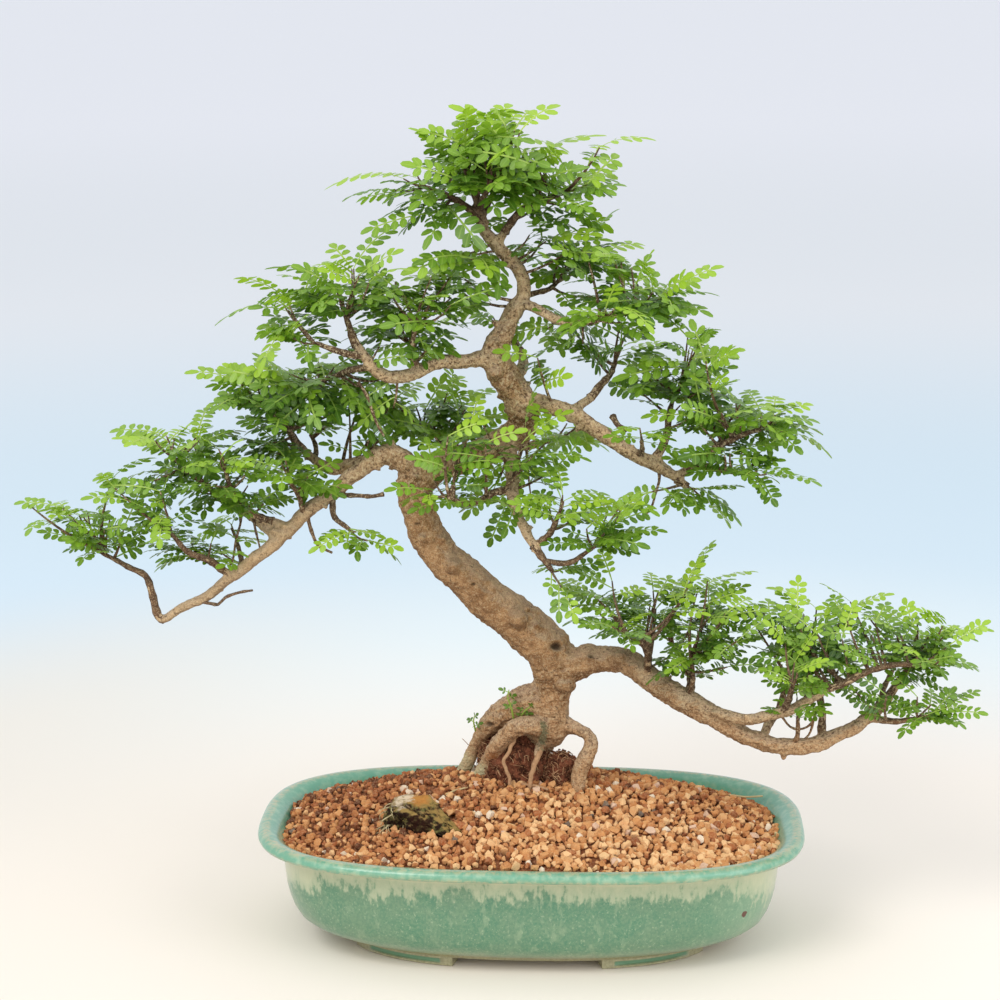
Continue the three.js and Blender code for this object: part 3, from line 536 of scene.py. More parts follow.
def oval(height, inset_length, inset_depth, squareness, sides=POT_SIDES):
    turns = 2 * math.pi * (np.arange(sides) + 0.5) / sides
    c, s = np.cos(turns), np.sin(turns)
    x = (HALF_LENGTH - inset_length) * np.sign(c) * abs(c) ** (2 / squareness)
    y = (HALF_DEPTH - inset_depth) * np.sign(s) * abs(s) ** (2 / squareness)
    return np.column_stack([x, y, np.full(sides, float(height))])


# %% [markdown]
# Each foot is a low block under a corner that follows the base's curve, with a sunk panel on its outer face.
# A grid of points for that face, pushed in where the panel is, gives the panel its own small slopes.

# %% The pot's feet
FOOT_STATIONS = [50, 52, 57.6, 59.2, 66, 74, 82, 90, 98, 106.6, 108.2, 115, 118]
FOOT_HEIGHTS = [0, 0.4, 1.5, 2.3, 4.4, 5, 6, 8]
FOOT_THICKNESS = 13.5


def foot(turn_x, turn_y):
    """One corner foot as a closed shell; the tones mark its panel."""
    half_length, half_depth = HALF_LENGTH - 57, HALF_DEPTH - 37
    outer, inner, panel = [], [], []
    for z in FOOT_HEIGHTS:
        for x in FOOT_STATIONS:
            y = half_depth * (1 - (x / half_length) ** 2.5) ** 0.4
            out = unit([x / half_length**2, y / half_depth**2, 0])
            sunk = 59 < x < 107 and 2 < z < 4.8
            edge = 0.5 if z == 0 or x in (FOOT_STATIONS[0], FOOT_STATIONS[-1]) else 0.0
            outer.append(np.array([x, y, z]) - out * (1.1 + edge + 1.2 * sunk))
            inner.append(np.array([x, y, z]) - out * FOOT_THICKNESS)
            panel.append(1.0 * sunk)
    points = np.array(outer + inner) * [turn_x, turn_y, 1]
    across, rows, back = len(FOOT_STATIONS), len(FOOT_HEIGHTS), len(outer)
    faces = []
    for i in range(rows - 1):
        for k in range(across - 1):
            a = i * across + k
            faces.append([a, a + across, a + across + 1, a + 1])
            faces.append([back + a, back + a + 1, back + a + across + 1, back + a + across])
        for a in (i * across, i * across + across - 1):
            faces.append([a, back + a, back + a + across, a + across])
    for a in [*range(across - 1), *range(across * (rows - 1), across * rows - 1)]:
        faces.append([a, a + 1, back + a + 1, back + a])
    return points, faces, np.array(panel * 2)


# %% [markdown]
# The glaze breaks where it is thin: buff clay shows on the lip's edge and round the foot, cream streaks hang
# below the lip, and the body is full of fine pale specks. The body's right end is painted paler, a painted
# highlight. All of it depends on the height, the place along the pot and on noise, so the material can be
# worked out from the place on the pot, with no painted picture.

# %% The glaze
# A small brown chip on the front wall, low on the right
CHIP = metres([143, -69.3, 38])
# How thin the glaze is on the lip: height, share
WORN = {72.3: 0.45, 73.6: 0.8, 75.6: 0.2, 79.2: 0.4, 80: 0.75}
POT_CENTRE = 1000 * MIDDLE[0]


def make_glaze():
    finish = Finish("glaze", Roughness=0.3, Coat_Weight=0.35, Coat_Roughness=0.12)
    height = finish.part(finish.place, 2) * 1000
    across = finish.part(finish.place, 0) * 1000 - POT_CENTRE
    inside = finish.tone("inside")
    wander = finish.blots(26, 3) - 0.5
    runs = finish.blots(2.8, 5, stretch=(1, 1, 2.6)) + finish.blots(9, 3, stretch=(1, 1, 1.9)) - 1.0
    specks = finish.step(finish.blots(1.5, 2, stretch=(1, 1, 1.4)), 0.6, 0.7)
    ends = finish.step(across * across, 125**2, 168**2)
    streaked = height + runs * 30 + wander * 24 + finish.blots(4, 4) * 10 - 5 + ends * 18
    worn_low = finish.blend(finish.step(finish.blots(2, 3), 0.4, 0.6), "98956f", "bcbb96")
    lip = finish.blend(finish.step(finish.blots(6, 4), 0.4, 0.7), "69a184", "8fb597")
    lip = finish.blend(inside * 0.6, lip, "4d987e")
    body = finish.layers("4f8063", [
        (finish.blots(20, 5, roughness=0.65), 0.38, 0.66, 1, "628669"),
        (finish.blots(1.9, 4, roughness=0.7), 0.4, 0.62, 0.32, "88a47e"),
        (finish.blots(5, 4, stretch=(1, 1, 2.5)), 0.54, 0.72, 0.35, "a6b592"),
    ])
    colour = finish.layers(finish.blend(specks * 0.4, body, "b4c09e"), [
        # Painted highlight: the right end of the body is paler
        (across, 95, 165, 0.4, "9dbb9a"),
        (streaked, 54, 63, 0.78, "b8be9c"),
        (streaked, 62, 74, 0.4, "cac8a6"),
        (height + wander * 3, 66.5, 68.5, 0.75, "cac5a2"),
        (height + wander * 10 + (runs + 0.5) * 6, 24, 9, 0.6, worn_low),
        (height + wander * 2, 70.8, 72.6, 1, lip),
        (inside, 0.1, 0.6, 1, lip),
        (finish.blots(3, 4), 0.3, 0.7, finish.tone("thin"), "bfae84"),
    ])
    bare = finish.step(height + (finish.blots(3, 3) - 0.5) * 3, 10.5, 8.2)
    colour = finish.blend(bare * 0.8, colour, finish.blend(finish.blots(2, 3), "7d7454", "c4ba94"))
    colour = finish.blend(finish.tone("panel") * 0.8, colour, "528d6b")
    chip = finish.distance(CHIP) + finish.blots(2, 2) * 0.003
    colour = finish.blend(finish.step(chip, 0.0042, 0.0036), colour, "5a2f1e")
    relief = finish.blots(9, 3) + specks * 0.2
    return finish.done(colour, 0.28 + specks * 0.12 + bare * 0.3, relief, depth=0.0006, strength=0.35)


def make_pot():
    rings = [oval(*row) for row in OUTER_WALL + INNER_WALL]
    points, faces = skin(rings)
    thin = np.repeat([WORN.get(row[0], 0.0) for row in OUTER_WALL + INNER_WALL], POT_SIDES)
    inside = np.repeat([0.0] * (len(OUTER_WALL) + 2) + [0.5] + [1.0] * (len(INNER_WALL) - 3), POT_SIDES)
    heap = Heap("thin", "panel", "inside")
    heap.add(points, faces, thin=thin, inside=inside)
    for turn_x, turn_y in [(1, 1), (-1, 1), (-1, -1), (1, -1)]:
        foot_points, foot_faces, panel = foot(turn_x, turn_y)
        heap.add(foot_points, foot_faces, panel=panel)
    return add_piece("glazed_pot", heap, make_glaze(), ["pot"], crease=40)


pot = make_pot()

# %% Cut the drain holes
DRAIN_REACH = 70
DRAIN_RADIUS = 0.011


def drill(piece, x):
    place = metres([x, 0, 8])
    bpy.ops.mesh.primitive_cylinder_add(vertices=40, radius=DRAIN_RADIUS, depth=0.03, location=place)
    drill_bit = bpy.context.object
    cut = piece.modifiers.new("drain hole", "BOOLEAN")
    cut.operation = "DIFFERENCE"
    cut.object = drill_bit
    bpy.context.view_layer.objects.active = piece
    bpy.ops.object.modifier_apply(modifier=cut.name)
    bpy.data.objects.remove(drill_bit)


for drain_x in (-DRAIN_REACH, DRAIN_REACH):
    drill(pot, drain_x)
print("pot with two drain holes:", len(pot.data.polygons), "faces")

# %% [markdown]
# ## The drain nets
#
# Under the soil, a square of black plastic net lies over each hole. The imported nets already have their
# openings, so they stay, and only get the slightly cloudy black of a moulded net.

# %% The nets' plastic
def make_net_plastic():
    finish = Finish("net plastic", Specular_IOR_Level=0.4)
    haze = finish.blots(3, 3)
    colour = finish.blend(haze, "1f2120", "35393a")
    return finish.done(colour, 0.45 + haze * 0.3, finish.blots(0.8, 2), depth=0.0002, strength=0.4)


net_plastic = make_net_plastic()
for net in ("drain_mesh_left", "drain_mesh_right"):
    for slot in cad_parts[net].material_slots:
        slot.material = net_plastic

# %% [markdown]
# ## The soil
#
# The tree stands in fired clay granules of 3 to 6 mm, orange-tan, painted darker red-brown towards the
# back left as painted shade, with a few white, pink and grey ones. A bump map can't give their gaps and
# shadows, so every granule is a stone of its own: the hull of a few random points on a ball, which is as
# angular as crushed clay. They lie on a bed that fills the pot and closes the gaps, painted dark as the
# shade between them.

# %% The mound
SOIL_LEVEL, MOUND_RISE, FRONT_RISE = 72, 28, 4
MOUND_X, MOUND_Y = -5, 32
# How far the mound reaches to the sides, the front and the back
MOUND_WIDTH, MOUND_FRONT, MOUND_BACK = 172, 138, 70


def soil_height(x, y):
    """A mound whose top is behind the middle, and soil that rises again towards the front wall."""
    reach = np.where(y < MOUND_Y, MOUND_FRONT, MOUND_BACK)
    share = ((x - MOUND_X) / MOUND_WIDTH) ** 2 + ((y - MOUND_Y) / reach) ** 2
    return SOIL_LEVEL + MOUND_RISE * np.maximum(0, 1 - share) + FRONT_RISE * np.maximum(0, -y / 105) ** 2


def in_pot(x, y, margin):
    """True if a place is inside the lip by that margin."""
    return (abs(x) / (HALF_LENGTH - margin)) ** 3 + (abs(y) / (HALF_DEPTH - margin)) ** 3 < 1


# %% The granules' finish
def make_clay():
    finish = Finish("fired clay", Roughness=0.95, Specular_IOR_Level=0.25)
    tone = finish.tone("tone")
    colour = finish.layers("5c2b16", [
        (tone, 0.0, 0.28, 1, "a35c33"),
        (tone, 0.25, 0.55, 1, "cf8f56"),
        (tone, 0.5, 0.85, 1, "eec08a"),
        (tone, 0.89, 0.9, 1, "dcb79c"),
        (tone, 0.92, 0.93, 1, "ecd9bf"),
        (tone, 0.96, 0.97, 1, "6d5f55"),
        (finish.blots(1.2, 3), 0.35, 0.75, 0.3, "e2bd90"),
    ])
    return finish.done(colour, None, finish.blots(0.7, 3), depth=0.0005, strength=0.8)


# %% The bed under the granules
BED_SIDES = 96
# The bed inside the pot: height, inset of the length, inset of the depth
BED_WALL = [(60, 23.5, 23), (26, 34, 29), (14.8, 50, 38), (14.8, 120, 80)]


def make_bed():
    heap = Heap("tone")
    rings = []
    for share in np.linspace(0.02, 1, 34):
        ring = oval(0, 15.5, 15.5, 3, BED_SIDES) * [share, share, 1]
        dent = [noise.noise(Vector(p) * 0.12) * 1.6 for p in ring]
        ring[:, 2] = soil_height(ring[:, 0], ring[:, 1]) - 2.6 + dent
        rings.append(ring)
    for height, length_inset, depth_inset in BED_WALL:
        rings.append(oval(height, length_inset, depth_inset, 2.9, BED_SIDES))
    points, faces = skin(rings)
    # The bed's dark tone is painted shade in the gaps between the granules
    heap.add(points, [face[::-1] for face in faces], tone=0.12)
    return add_piece("soil_bed", heap, make_clay(), ["soil"])


# %% The granules
GRANULE_PITCH = 4.3
GRANULE_MARGIN = 17
# Rows and columns on each side of the middle
GRANULE_ROWS, GRANULE_COLUMNS = 27, 42
GRANULE_SIZES = [1.4, 1.9, 2.2, 2.5, 2.8, 3.1, 3.6]


def chip_shapes(count, corners, rng):
    """Angular stones: each is the hull of a few random points on a ball."""
    shapes = []
    for _ in range(count):
        stone = bmesh.new()
        for _ in range(corners):
            stone.verts.new(unit([rng.gauss(0, 1) for _ in range(3)]))
        bmesh.ops.convex_hull(stone, input=stone.verts)
        stone.verts.index_update()
        points = np.array([v.co for v in stone.verts])
        shapes.append((points, [[v.index for v in face.verts] for face in stone.faces]))
        stone.free()
    return shapes


def turned(rng):
    """A random turn in space, as a matrix."""
    first = unit([rng.gauss(0, 1) for _ in range(3)])
    second = unit(np.cross(first, [rng.gauss(0, 1) for _ in range(3)]))
    return np.array([first, second, np.cross(first, second)])


def painted_shade_back_left(x, y):
    """How much painted shade the soil gets: 0 at the front right, 1 at the back left."""
    return 0.55 * clamp((y + 65) / 130) + 0.45 * clamp((25 - x) / 130)


def granule_tone(x, y, rng):
    """Darker towards the back left, as painted shade; a few grains are of other stone."""
    pick = rng.random()
    if pick > 0.968:
        return rng.choice([0.9, 0.9, 0.9, 0.94, 0.94, 0.98])
    return clamp(rng.gauss(0.68, 0.2) - 0.54 * painted_shade_back_left(x, y), 0.86)


# Larger pale stones: x, y
PALE_STONES = [
    (-34, -38), (-26, -39), (50, -62), (109, -29), (116, -30), (124, -21), (151, -18), (149, -48),
    (154, -42), (81, 7), (12, -64), (-88, 12), (-84, 4), (-64, -18), (-60, -12), (-7, -11), (57, -86),
    (-130, -66), (-121, -70),
]


def make_granules(seed=5):
    rng = random.Random(seed)
    shapes = chip_shapes(20, 15, rng)
    heap = Heap("tone")
    for row in range(-GRANULE_ROWS, GRANULE_ROWS + 1):
        for column in range(-GRANULE_COLUMNS, GRANULE_COLUMNS + 1):
            x = (column + 0.5 * (row % 2) + rng.uniform(-0.36, 0.36)) * GRANULE_PITCH
            y = (row + rng.uniform(-0.4, 0.4)) * GRANULE_PITCH * 0.9
            if not in_pot(x, y, GRANULE_MARGIN):
                continue
            size = rng.choice(GRANULE_SIZES) * (1.02 - 0.22 * painted_shade_back_left(x, y))
            z = float(soil_height(x, y)) - 1.6 + 0.5 * size + rng.uniform(-0.7, 0.7)
            points, faces = rng.choice(shapes)
            stretch = [size * rng.uniform(0.8, 1.2) for _ in range(3)]
            stone = (points * stretch) @ turned(rng) + [x, y, z]
            heap.add(stone, faces, tone=granule_tone(x, y, rng))
    for x, y in PALE_STONES:
        points, faces = rng.choice(shapes)
        size = rng.uniform(3.2, 4.2)
        stone = (points * [size, size * 0.8, size * 0.7]) @ turned(rng)
        heap.add(stone + [x, y, float(soil_height(x, y)) + 0.8], faces, tone=rng.choice([0.86, 0.9, 0.94]))
    return add_piece("soil_granules", heap, clay, ["soil"], smooth=False)


clay = make_clay()
make_bed()
make_granules()

# %% [markdown]
# ## The wood
#
# This tree's bark is thin and tan, with a paler painted highlight where the light falls, small dark pits
# and healed scars, over swollen wood that bulges where a branch leaves. Overlapping tubes would show hard
# seams at each fork. A voxel remesh melts the thick tubes into one skin with soft forks, and noise then
# moves its points for the lumps and grooves. It would lose the thinnest twigs, so they stay tubes.

# %% Thick tubes melted into one skin
# The remesh takes what is thicker than this
THICK = 2.6
VOXEL = 0.0012
# Healed wounds: x, y, z and radius
SCARS = [(-53, 2, 254, 5), (22, 12, 170, 6), (-10, 6, 218, 6.5), (-24, -1, 386, 4), (60, -1, 193, 4.5)]
# Hollow knots on the front: x, z, width and depth
HOLES = [(18, 199, 4, 3.2), (41, 194, 1.8, 1.2), (-32, 136, 3, 2), (-38, 240, 1.6, 0.8), (-76, 282, 1.3, 0.6)]


def swell(path, radii, seed):
    """How far each point of a tube stands out: slow bulges, lengthwise grooves and knots."""
    def shape(i, turn):
        r = radii[i]
        x, y, z = path[i]
        around = Vector((math.cos(turn) * 1.3 + seed, math.sin(turn) * 1.3, (x + y + z) / (5 * r + 14)))
        return 1 + 0.16 * noise.noise(around) + 0.05 * noise.noise(around * 3.1)
    return shape


def thick_part(path, radii):
    """The stretch of a limb that is thick enough for the remesh."""
    thin = np.flatnonzero(radii < THICK)
    last = int(thin[0]) + 1 if len(thin) else len(radii)
    return path[:last], radii[:last]


# Without a seed of its own, the noise of vectors would differ from run to run
noise.seed_set(4)


def crooked(path):
    """Small kinks in a limb, by its place, so that its thick and thin stretches still meet."""
    return np.array([point + np.array(noise.noise_vector(Vector(point) * 0.055)) * 1.7 for point in path])


def knots(seed=6):
    """Stumps of twigs that were cut off: a root on a limb's skin, the way it points and its radius."""
    rng = random.Random(seed)
    for rows in [*TRUNK.values(), *BRANCHES.values()]:
        path, radii = limb_path(rows, 4)
        for i in range(3, len(path) - 2):
            if radii[i] < 2.4 or rng.random() > 0.32:
                continue
            out = unit([rng.gauss(0, 1), rng.gauss(0, 1), rng.gauss(0.2, 1)])
            heading = unit(path[i + 1] - path[i])
            out = unit(out - heading * (out @ heading))
            yield path[i] + out * radii[i] * 0.85, out, min(2.6, radii[i] * rng.uniform(0.25, 0.5))


def ball(subdivisions, radius=1.0):
    """The points and faces of a round ball."""
    sphere = bmesh.new()
    bmesh.ops.create_icosphere(sphere, subdivisions=subdivisions, radius=radius)
    points = np.array([corner.co for corner in sphere.verts])
    faces = [[corner.index for corner in face.verts] for face in sphere.faces]
    sphere.free()
    return points, faces


def keep_largest_shell(mesh):
    """Drops the specks and closed pockets that the remesh leaves beside the one skin."""
    shells = bmesh.new()
    shells.from_mesh(mesh)
    unseen = set(shells.verts)
    largest = set()
    while len(unseen) > len(largest):
        front = [unseen.pop()]
        shell = set(front)
        while front:
            corner = front.pop()
            others = {edge.other_vert(corner) for edge in corner.link_edges} - shell
            shell |= others
            front += others
        unseen -= shell
        largest = max(largest, shell, key=len)
    strays = [corner for corner in shells.verts if corner not in largest]
    bmesh.ops.delete(shells, geom=strays, context="VERTS")
    shells.to_mesh(mesh)
    shells.free()


def melted_wood():
    heap = Heap()
    for seed, rows in enumerate(WOOD.values()):
        path, radii = thick_part(*limb_path(rows, 2.5))
        if len(path) > 2:
            path = crooked(path)
            heap.add(*tube(path, radii, 20 if radii[0] > 7 else 12, swell(path, radii, seed * 7.3)))
    for root, out, radius in knots():
        ends = [root, root + out * radius, root + out * radius * 1.7]
        heap.add(*tube(ends, [radius, radius * 0.85, radius * 0.6], 8))
    for x, y, z, radius in SCARS:
        points, faces = ball(3, radius)
        heap.add(points + [x, y, z], faces)
    rough = add_piece("wood_rough", heap, None)
    remesh = rough.modifiers.new("melt", "REMESH")
    remesh.mode = "VOXEL"
    remesh.voxel_size = VOXEL
    soften = rough.modifiers.new("soften", "SMOOTH")
    soften.iterations = 3
    soften.factor = 0.5
    graph = bpy.context.evaluated_depsgraph_get()
    mesh = bpy.data.meshes.new_from_object(rough.evaluated_get(graph))
    bpy.data.objects.remove(rough)
    keep_largest_shell(mesh)
    return mesh


def near(points, centre):
    """How far each point is from a centre."""
    return np.linalg.norm(points - np.array(centre), axis=1)


def front_of(points, x, z):
    """The foremost point of a skin at x and z."""
    close = points[(abs(points[:, 0] - x) < 2) & (abs(points[:, 2] - z) < 2)]
    return close[np.argmin(close[:, 1])] if len(close) else np.array([x, 0.0, z])


# A healed knot closes from above and below, so it is wider than high
FLAT = np.array([0.8, 1.0, 1.5])
# A rusty stain on the front of the arch: x, z and radius
STAIN = (-26, 114, 6)


def bark_relief(points):
    """How far the bark stands out at each point, and how slim the limb is there."""
    limbs = [limb_path(rows, 5) for rows in WOOD.values()]
    core = kdtree.KDTree(sum(len(path) for path, _ in limbs))
    thickness = []
    for path, radii in limbs:
        for centre, radius in zip(path, radii):
            core.insert(centre, len(thickness))
            thickness.append(radius)
    core.balance()
    lift, slim = np.empty(len(points)), np.empty(len(points))
    for i, point in enumerate(points):
        place = Vector(point)
        stout = thickness[core.find(place)[1]]
        share = min(1.0, stout / 9)
        slim[i] = clamp(1.5 - stout / 7)
        lumps = noise.noise(place * 0.085) * 1.2 + noise.noise(place * 0.21) * 0.9
        fine = noise.noise(place * 0.42) * (0.8 - 0.4 * max(0.0, 1 - abs(point[2] - 245) / 60))
        low = max(0.0, 1 - abs(point[2] - 140) / 60)
        creases = noise.noise(Vector((place.x * 0.1, place.y * 0.1, place.z * 0.48))) * 0.9 * low
        lift[i] = share * (lumps + fine + creases) - 0.3
    return lift, slim


def carve_bark(mesh):
    """Moves the skin's points along their normals: lumps, wrinkles, the scars' collars and the knot holes."""
    count = len(mesh.vertices)
    flat = np.empty(count * 3, np.float32)
    mesh.vertices.foreach_get("co", flat)
    points = (flat.reshape(-1, 3) - MIDDLE) * 1000
    mesh.vertex_normals.foreach_get("vector", flat)
    normals = flat.reshape(-1, 3)
    lift, slim = bark_relief(points)
    worn = np.zeros(count)
    for x, y, z, radius in SCARS:
        distance = near(points, (x, y, z))
        lift += 0.7 * np.exp(-(((distance - radius * 1.05) / 1.6) ** 2))
        worn = np.maximum(worn, np.clip(1.3 - distance / radius, 0, 1))
    hollow = np.zeros(count)
    for x, z, width, deep in HOLES:
        distance = near(points * FLAT, front_of(points, x, z) * FLAT)
        lift += 0.35 * deep * np.exp(-(((distance - width * 1.3) / (0.45 * width)) ** 2))
        lift -= deep * np.exp(-((distance / (0.85 * width)) ** 2))
        hollow = np.maximum(hollow, np.exp(-((distance / width) ** 4)))
    moved = metres(points + normals * lift[:, None])
    mesh.vertices.foreach_set("co", moved.astype(np.float32).ravel())
    x, z, width = STAIN
    stain = np.exp(-((near(points, front_of(points, x, z)) / width) ** 2))
    for label, values in (("worn", worn), ("hollow", hollow), ("slim", slim), ("stain", stain)):
        layer = mesh.attributes.new(label, "FLOAT", "POINT")
        layer.data.foreach_set("value", values.astype(np.float32))


# %% [markdown]
# The bark's colour is layered: warm tan below, a paler painted highlight on the tops of the limbs where the
# light falls and painted shade on their undersides, broken by pale and dark flecks, with small dark pits
# and a greenish bloom near the soil. High in the crown the wood is painted dark as the shade under the top
# pads, and the knot holes nearly black as the shade inside them. The surface's own normal tells the top
# from the underside.

# %% The bark's finish
# The feet left of this x, in the frame's millimetres, stand in damp soil and are pale with algae
LEFT_FEET = -26 + 1000 * MIDDLE[0]


def make_bark(name, dark, light, lit, underside_shade, pale="dcc49c", pit="523a27"):
    finish = Finish(name, Roughness=0.85, Specular_IOR_Level=0.3)
    facing = finish.facing_up()
    height = finish.part(finish.place, 2) * 1000
    across = finish.part(finish.place, 0) * 1000
    patches = finish.blots(14, 4)
    drift = patches - 0.5
    mottle = finish.blots(6, 4, stretch=(1.4, 1.4, 1))
    flecks = finish.blots(2.2, 3, roughness=0.7)
    grain = finish.blots(0.8, 3)
    busy = 0.35 + finish.step(height + drift * 90, 262, 320) * 0.75
    busy = busy + finish.step(height + drift * 60, 195, 165) * 0.45
    pits = finish.step(finish.blots(1.9, 2), 0.62, 0.68) * finish.step(patches, 0.48, 0.6)
    algae = finish.step(across, LEFT_FEET + 8, LEFT_FEET) * 0.8
    colour = finish.blend(finish.step(mottle, 0.34, 0.66), dark, light)
    colour = finish.blend(finish.tone("slim") * 0.45, colour, pale)
    colour = finish.layers(colour, [
        (height + drift * 60, 175, 135, 0.5, "c99465"),
        # Painted highlight on the tops of the limbs and painted shade on their undersides
        (facing + drift * 1.2, 0.0, 0.7, 0.55, lit),
        (facing + drift * 0.9, -0.15, -0.75, 0.5, underside_shade),
        (flecks, 0.53, 0.61, busy * 0.6, pale),
        (flecks, 0.46, 0.38, busy * 0.7, pit),
        (grain, 0.54, 0.66, 0.4, pale),
        (grain, 0.45, 0.34, 0.45, pit),
    ])
    colour = finish.layers(finish.blend(pits * 0.6, colour, pit), [
        # Painted shade: the wood high in the crown, under the top pads, is darker
        (height + drift * 12, 470, 492, 0.7, "573c2c"),
        (height + drift * 40, 116, 96, algae, "d9d6a8"),
    ])
    # Knot holes painted nearly black as painted shade; the scars and the stain are the bark's own colours
    for label, share, mark in (("worn", 0.5, "5c4632"), ("stain", 0.7, "a3622c"), ("hollow", 0.88, "2c1e13")):
        colour = finish.blend(finish.tone(label) * share, colour, mark)
    wrinkles = finish.blots(1.5, 3, stretch=(3, 3, 1)) * finish.step(height, 215, 165)
    relief = flecks * 0.8 + grain * 0.35 + mottle * 0.4 + wrinkles * 1.1 - pits * 0.8
    return finish.done(colour, 0.78 + grain * 0.2, relief, depth=0.0018, strength=1.0)


bark = make_bark("bark", "926a44", "b98e62", "c0a488", "6e4c2e")
wood_mesh = melted_wood()
carve_bark(wood_mesh)
wood_mesh.materials.clear()
wood_mesh.materials.append(bark)
wood_mesh.polygons.foreach_set("use_smooth", [True] * len(wood_mesh.polygons))
wood = bpy.data.objects.new("bark_wood", wood_mesh)
bpy.context.scene.collection.objects.link(wood)
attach(wood, "root")
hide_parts("trunk")
print("bark_wood:", 2 * len(wood_mesh.polygons), "triangles")

# %% [markdown]
# ## Leafy shoots
#
# Leaves don't spring from thick wood: dark little shoots leave the twigs, bend up to the light and carry the
# leaves by turns. Shoots that only follow a rule make even tufts, while a pruned tree has pads:
# flat-bottomed clouds, kept in shape by the grower. So each pad is given as an egg-shaped space, points are
# picked in it, and a shoot grows to each of them from the nearest wood. Every leaf stays joined to the tree,
# and the pads get the tree's own outline.

# %% The pads of leaves
# x, y, z of the middle, half width, half depth, half height, and the number of shoots
PADS = [
    (-24, 10, 530, 34, 36, 20, 13), (-46, 6, 512, 17, 32, 14, 5), (0, 6, 520, 16, 32, 14, 6),
    (12, 10, 495, 24, 32, 14, 5), (-62, 4, 492, 11, 22, 9, 3), (-88, 0, 506, 5, 8, 4, 1),
    (40, 2, 532, 6, 8, 4, 1), (-47, 8, 545, 8, 12, 4, 2), (-10, 8, 543, 8, 12, 4, 2),
    (18, 14, 464, 24, 32, 16, 6), (4, 12, 472, 12, 24, 8, 3), (-44, 10, 462, 8, 14, 6, 2),
    (50, 10, 456, 20, 30, 14, 4), (83, -2, 436, 32, 36, 19, 7), (51, 6, 421, 41, 44, 23, 8),
    (17, 20, 399, 27, 40, 27, 5), (108, 0, 401, 20, 30, 16, 5), (84, 6, 375, 34, 42, 27, 9),
    (122, -6, 362, 32, 42, 26, 9), (150, -10, 350, 20, 30, 15, 6), (132, -18, 334, 34, 30, 15, 6),
    (-117, -14, 440, 42, 40, 20, 11), (-67, -6, 435, 37, 40, 26, 9), (-155, -26, 432, 18, 26, 15, 3),
    (-88, 0, 404, 40, 36, 16, 6), (-51, 0, 459, 20, 26, 16, 3), (-156, 12, 372, 37, 44, 29, 18),
    (-109, 12, 359, 32, 44, 31, 16), (-189, 10, 365, 20, 30, 19, 4), (-65, 50, 342, 36, 34, 28, 14),
    (-222, 2, 326, 31, 40, 23, 7), (-166, 0, 326, 28, 36, 18, 9), (-200, -2, 299, 34, 44, 24, 8),
    (-262, -6, 311, 26, 34, 22, 5), (-293, -6, 285, 30, 28, 14, 6), (-228, -18, 261, 30, 32, 17, 7),
    (-327, -4, 293, 16, 8, 5, 2), (-135, 0, 313, 24, 34, 19, 4), (-40, -20, 338, 30, 30, 25, 6),
    (19, -14, 338, 39, 38, 28, 6), (32, -38, 296, 38, 28, 21, 7), (65, -40, 310, 18, 24, 23, 3),
    (-40, -20, 305, 29, 24, 15, 3), (-25, 60, 295, 36, 24, 18, 4), (62, -6, 232, 31, 36, 25, 9),
    (106, -6, 229, 35, 42, 27, 12), (150, -8, 217, 37, 44, 26, 12), (203, -4, 217, 35, 42, 25, 12),
    (240, -8, 208, 30, 38, 23, 9), (113, -18, 195, 35, 30, 18, 7), (178, -26, 195, 41, 26, 20, 9),
    (238, -12, 178, 32, 28, 15, 6), (270, -4, 206, 12, 20, 18, 4), (276, -20, 164, 18, 12, 7, 3),
]
UP = np.array([0.0, 0.0, 1.0])
LEAF_STALK = 5.0
LEAFLET_PITCH = 5.4
LEAFLET_LENGTH = 8.2
LEAFLET_WIDTH = 5.0


def leaf_length(pairs, size):
    return size * (LEAF_STALK + pairs * LEAFLET_PITCH + LEAFLET_LENGTH)


def rib_point(leaf, u):
    """The point that is u along the rib of an arching leaf."""
    return leaf["base"] + leaf["along"] * u - leaf["up"] * (leaf["droop"] * u * u)


def plan_leaf(rng, base, along, pairs, size, outward=UP):
    """A leaf that faces the light: upward, to the tree's front and out of its pad."""
    sky = unit(UP + 0.6 * outward + np.array([rng.gauss(0, 0.4), rng.gauss(-0.35, 0.4), rng.gauss(0, 0.2)]))
    side = unit(np.cross(sky, along))
    droop = rng.uniform(0.003, 0.016)
    up = np.cross(along, side)
    return dict(base=base, along=along, side=side, up=up, droop=droop, pairs=pairs, size=size)


# How far the tree's own leaves reach
LEFTMOST, RIGHTMOST, DEEPEST, LOWEST, HIGHEST = -350, 320, 122, 112, 566
# Leaves keep out of wood that is thicker than this
STOUT = 4.2
limb_lines = [limb_path(rows, 4) for rows in WOOD.values()]
WOOD_POINTS = np.concatenate([path[radii > STOUT] for path, radii in limb_lines])
WOOD_RADII = np.concatenate([radii[radii > STOUT] for _, radii in limb_lines])


def fits(leaf):
    """True if a leaf keeps out of thick wood, the soil and the air beyond the tree's own reach."""
    length = leaf_length(leaf["pairs"], leaf["size"])
    for u in (0.45 * length, 0.75 * length, length):
        x, y, z = point = rib_point(leaf, u)
        if not LEFTMOST < x < RIGHTMOST or abs(y) > DEEPEST or not LOWEST < z < HIGHEST:
            return False
        if (near(WOOD_POINTS, point) < WOOD_RADII + 2).any():
            return False
    return True


# %% Plan the shoots and their leaves
SHORTEST_SHOOT = 12


def bend(root, target, rng):
    """A shoot's line from the wood to its tip, which sags a little and then rises."""
    reach = np.linalg.norm(target - root)
    elbow = root + (target - root) * 0.5
    elbow += np.array([rng.uniform(-0.14, 0.14), rng.uniform(-0.14, 0.14), rng.uniform(-0.22, -0.04)]) * reach
    ts = np.linspace(0, 1, max(5, round(reach / 6)))[:, None]
    return (1 - ts) ** 2 * root + 2 * ts * (1 - ts) * elbow + ts**2 * target


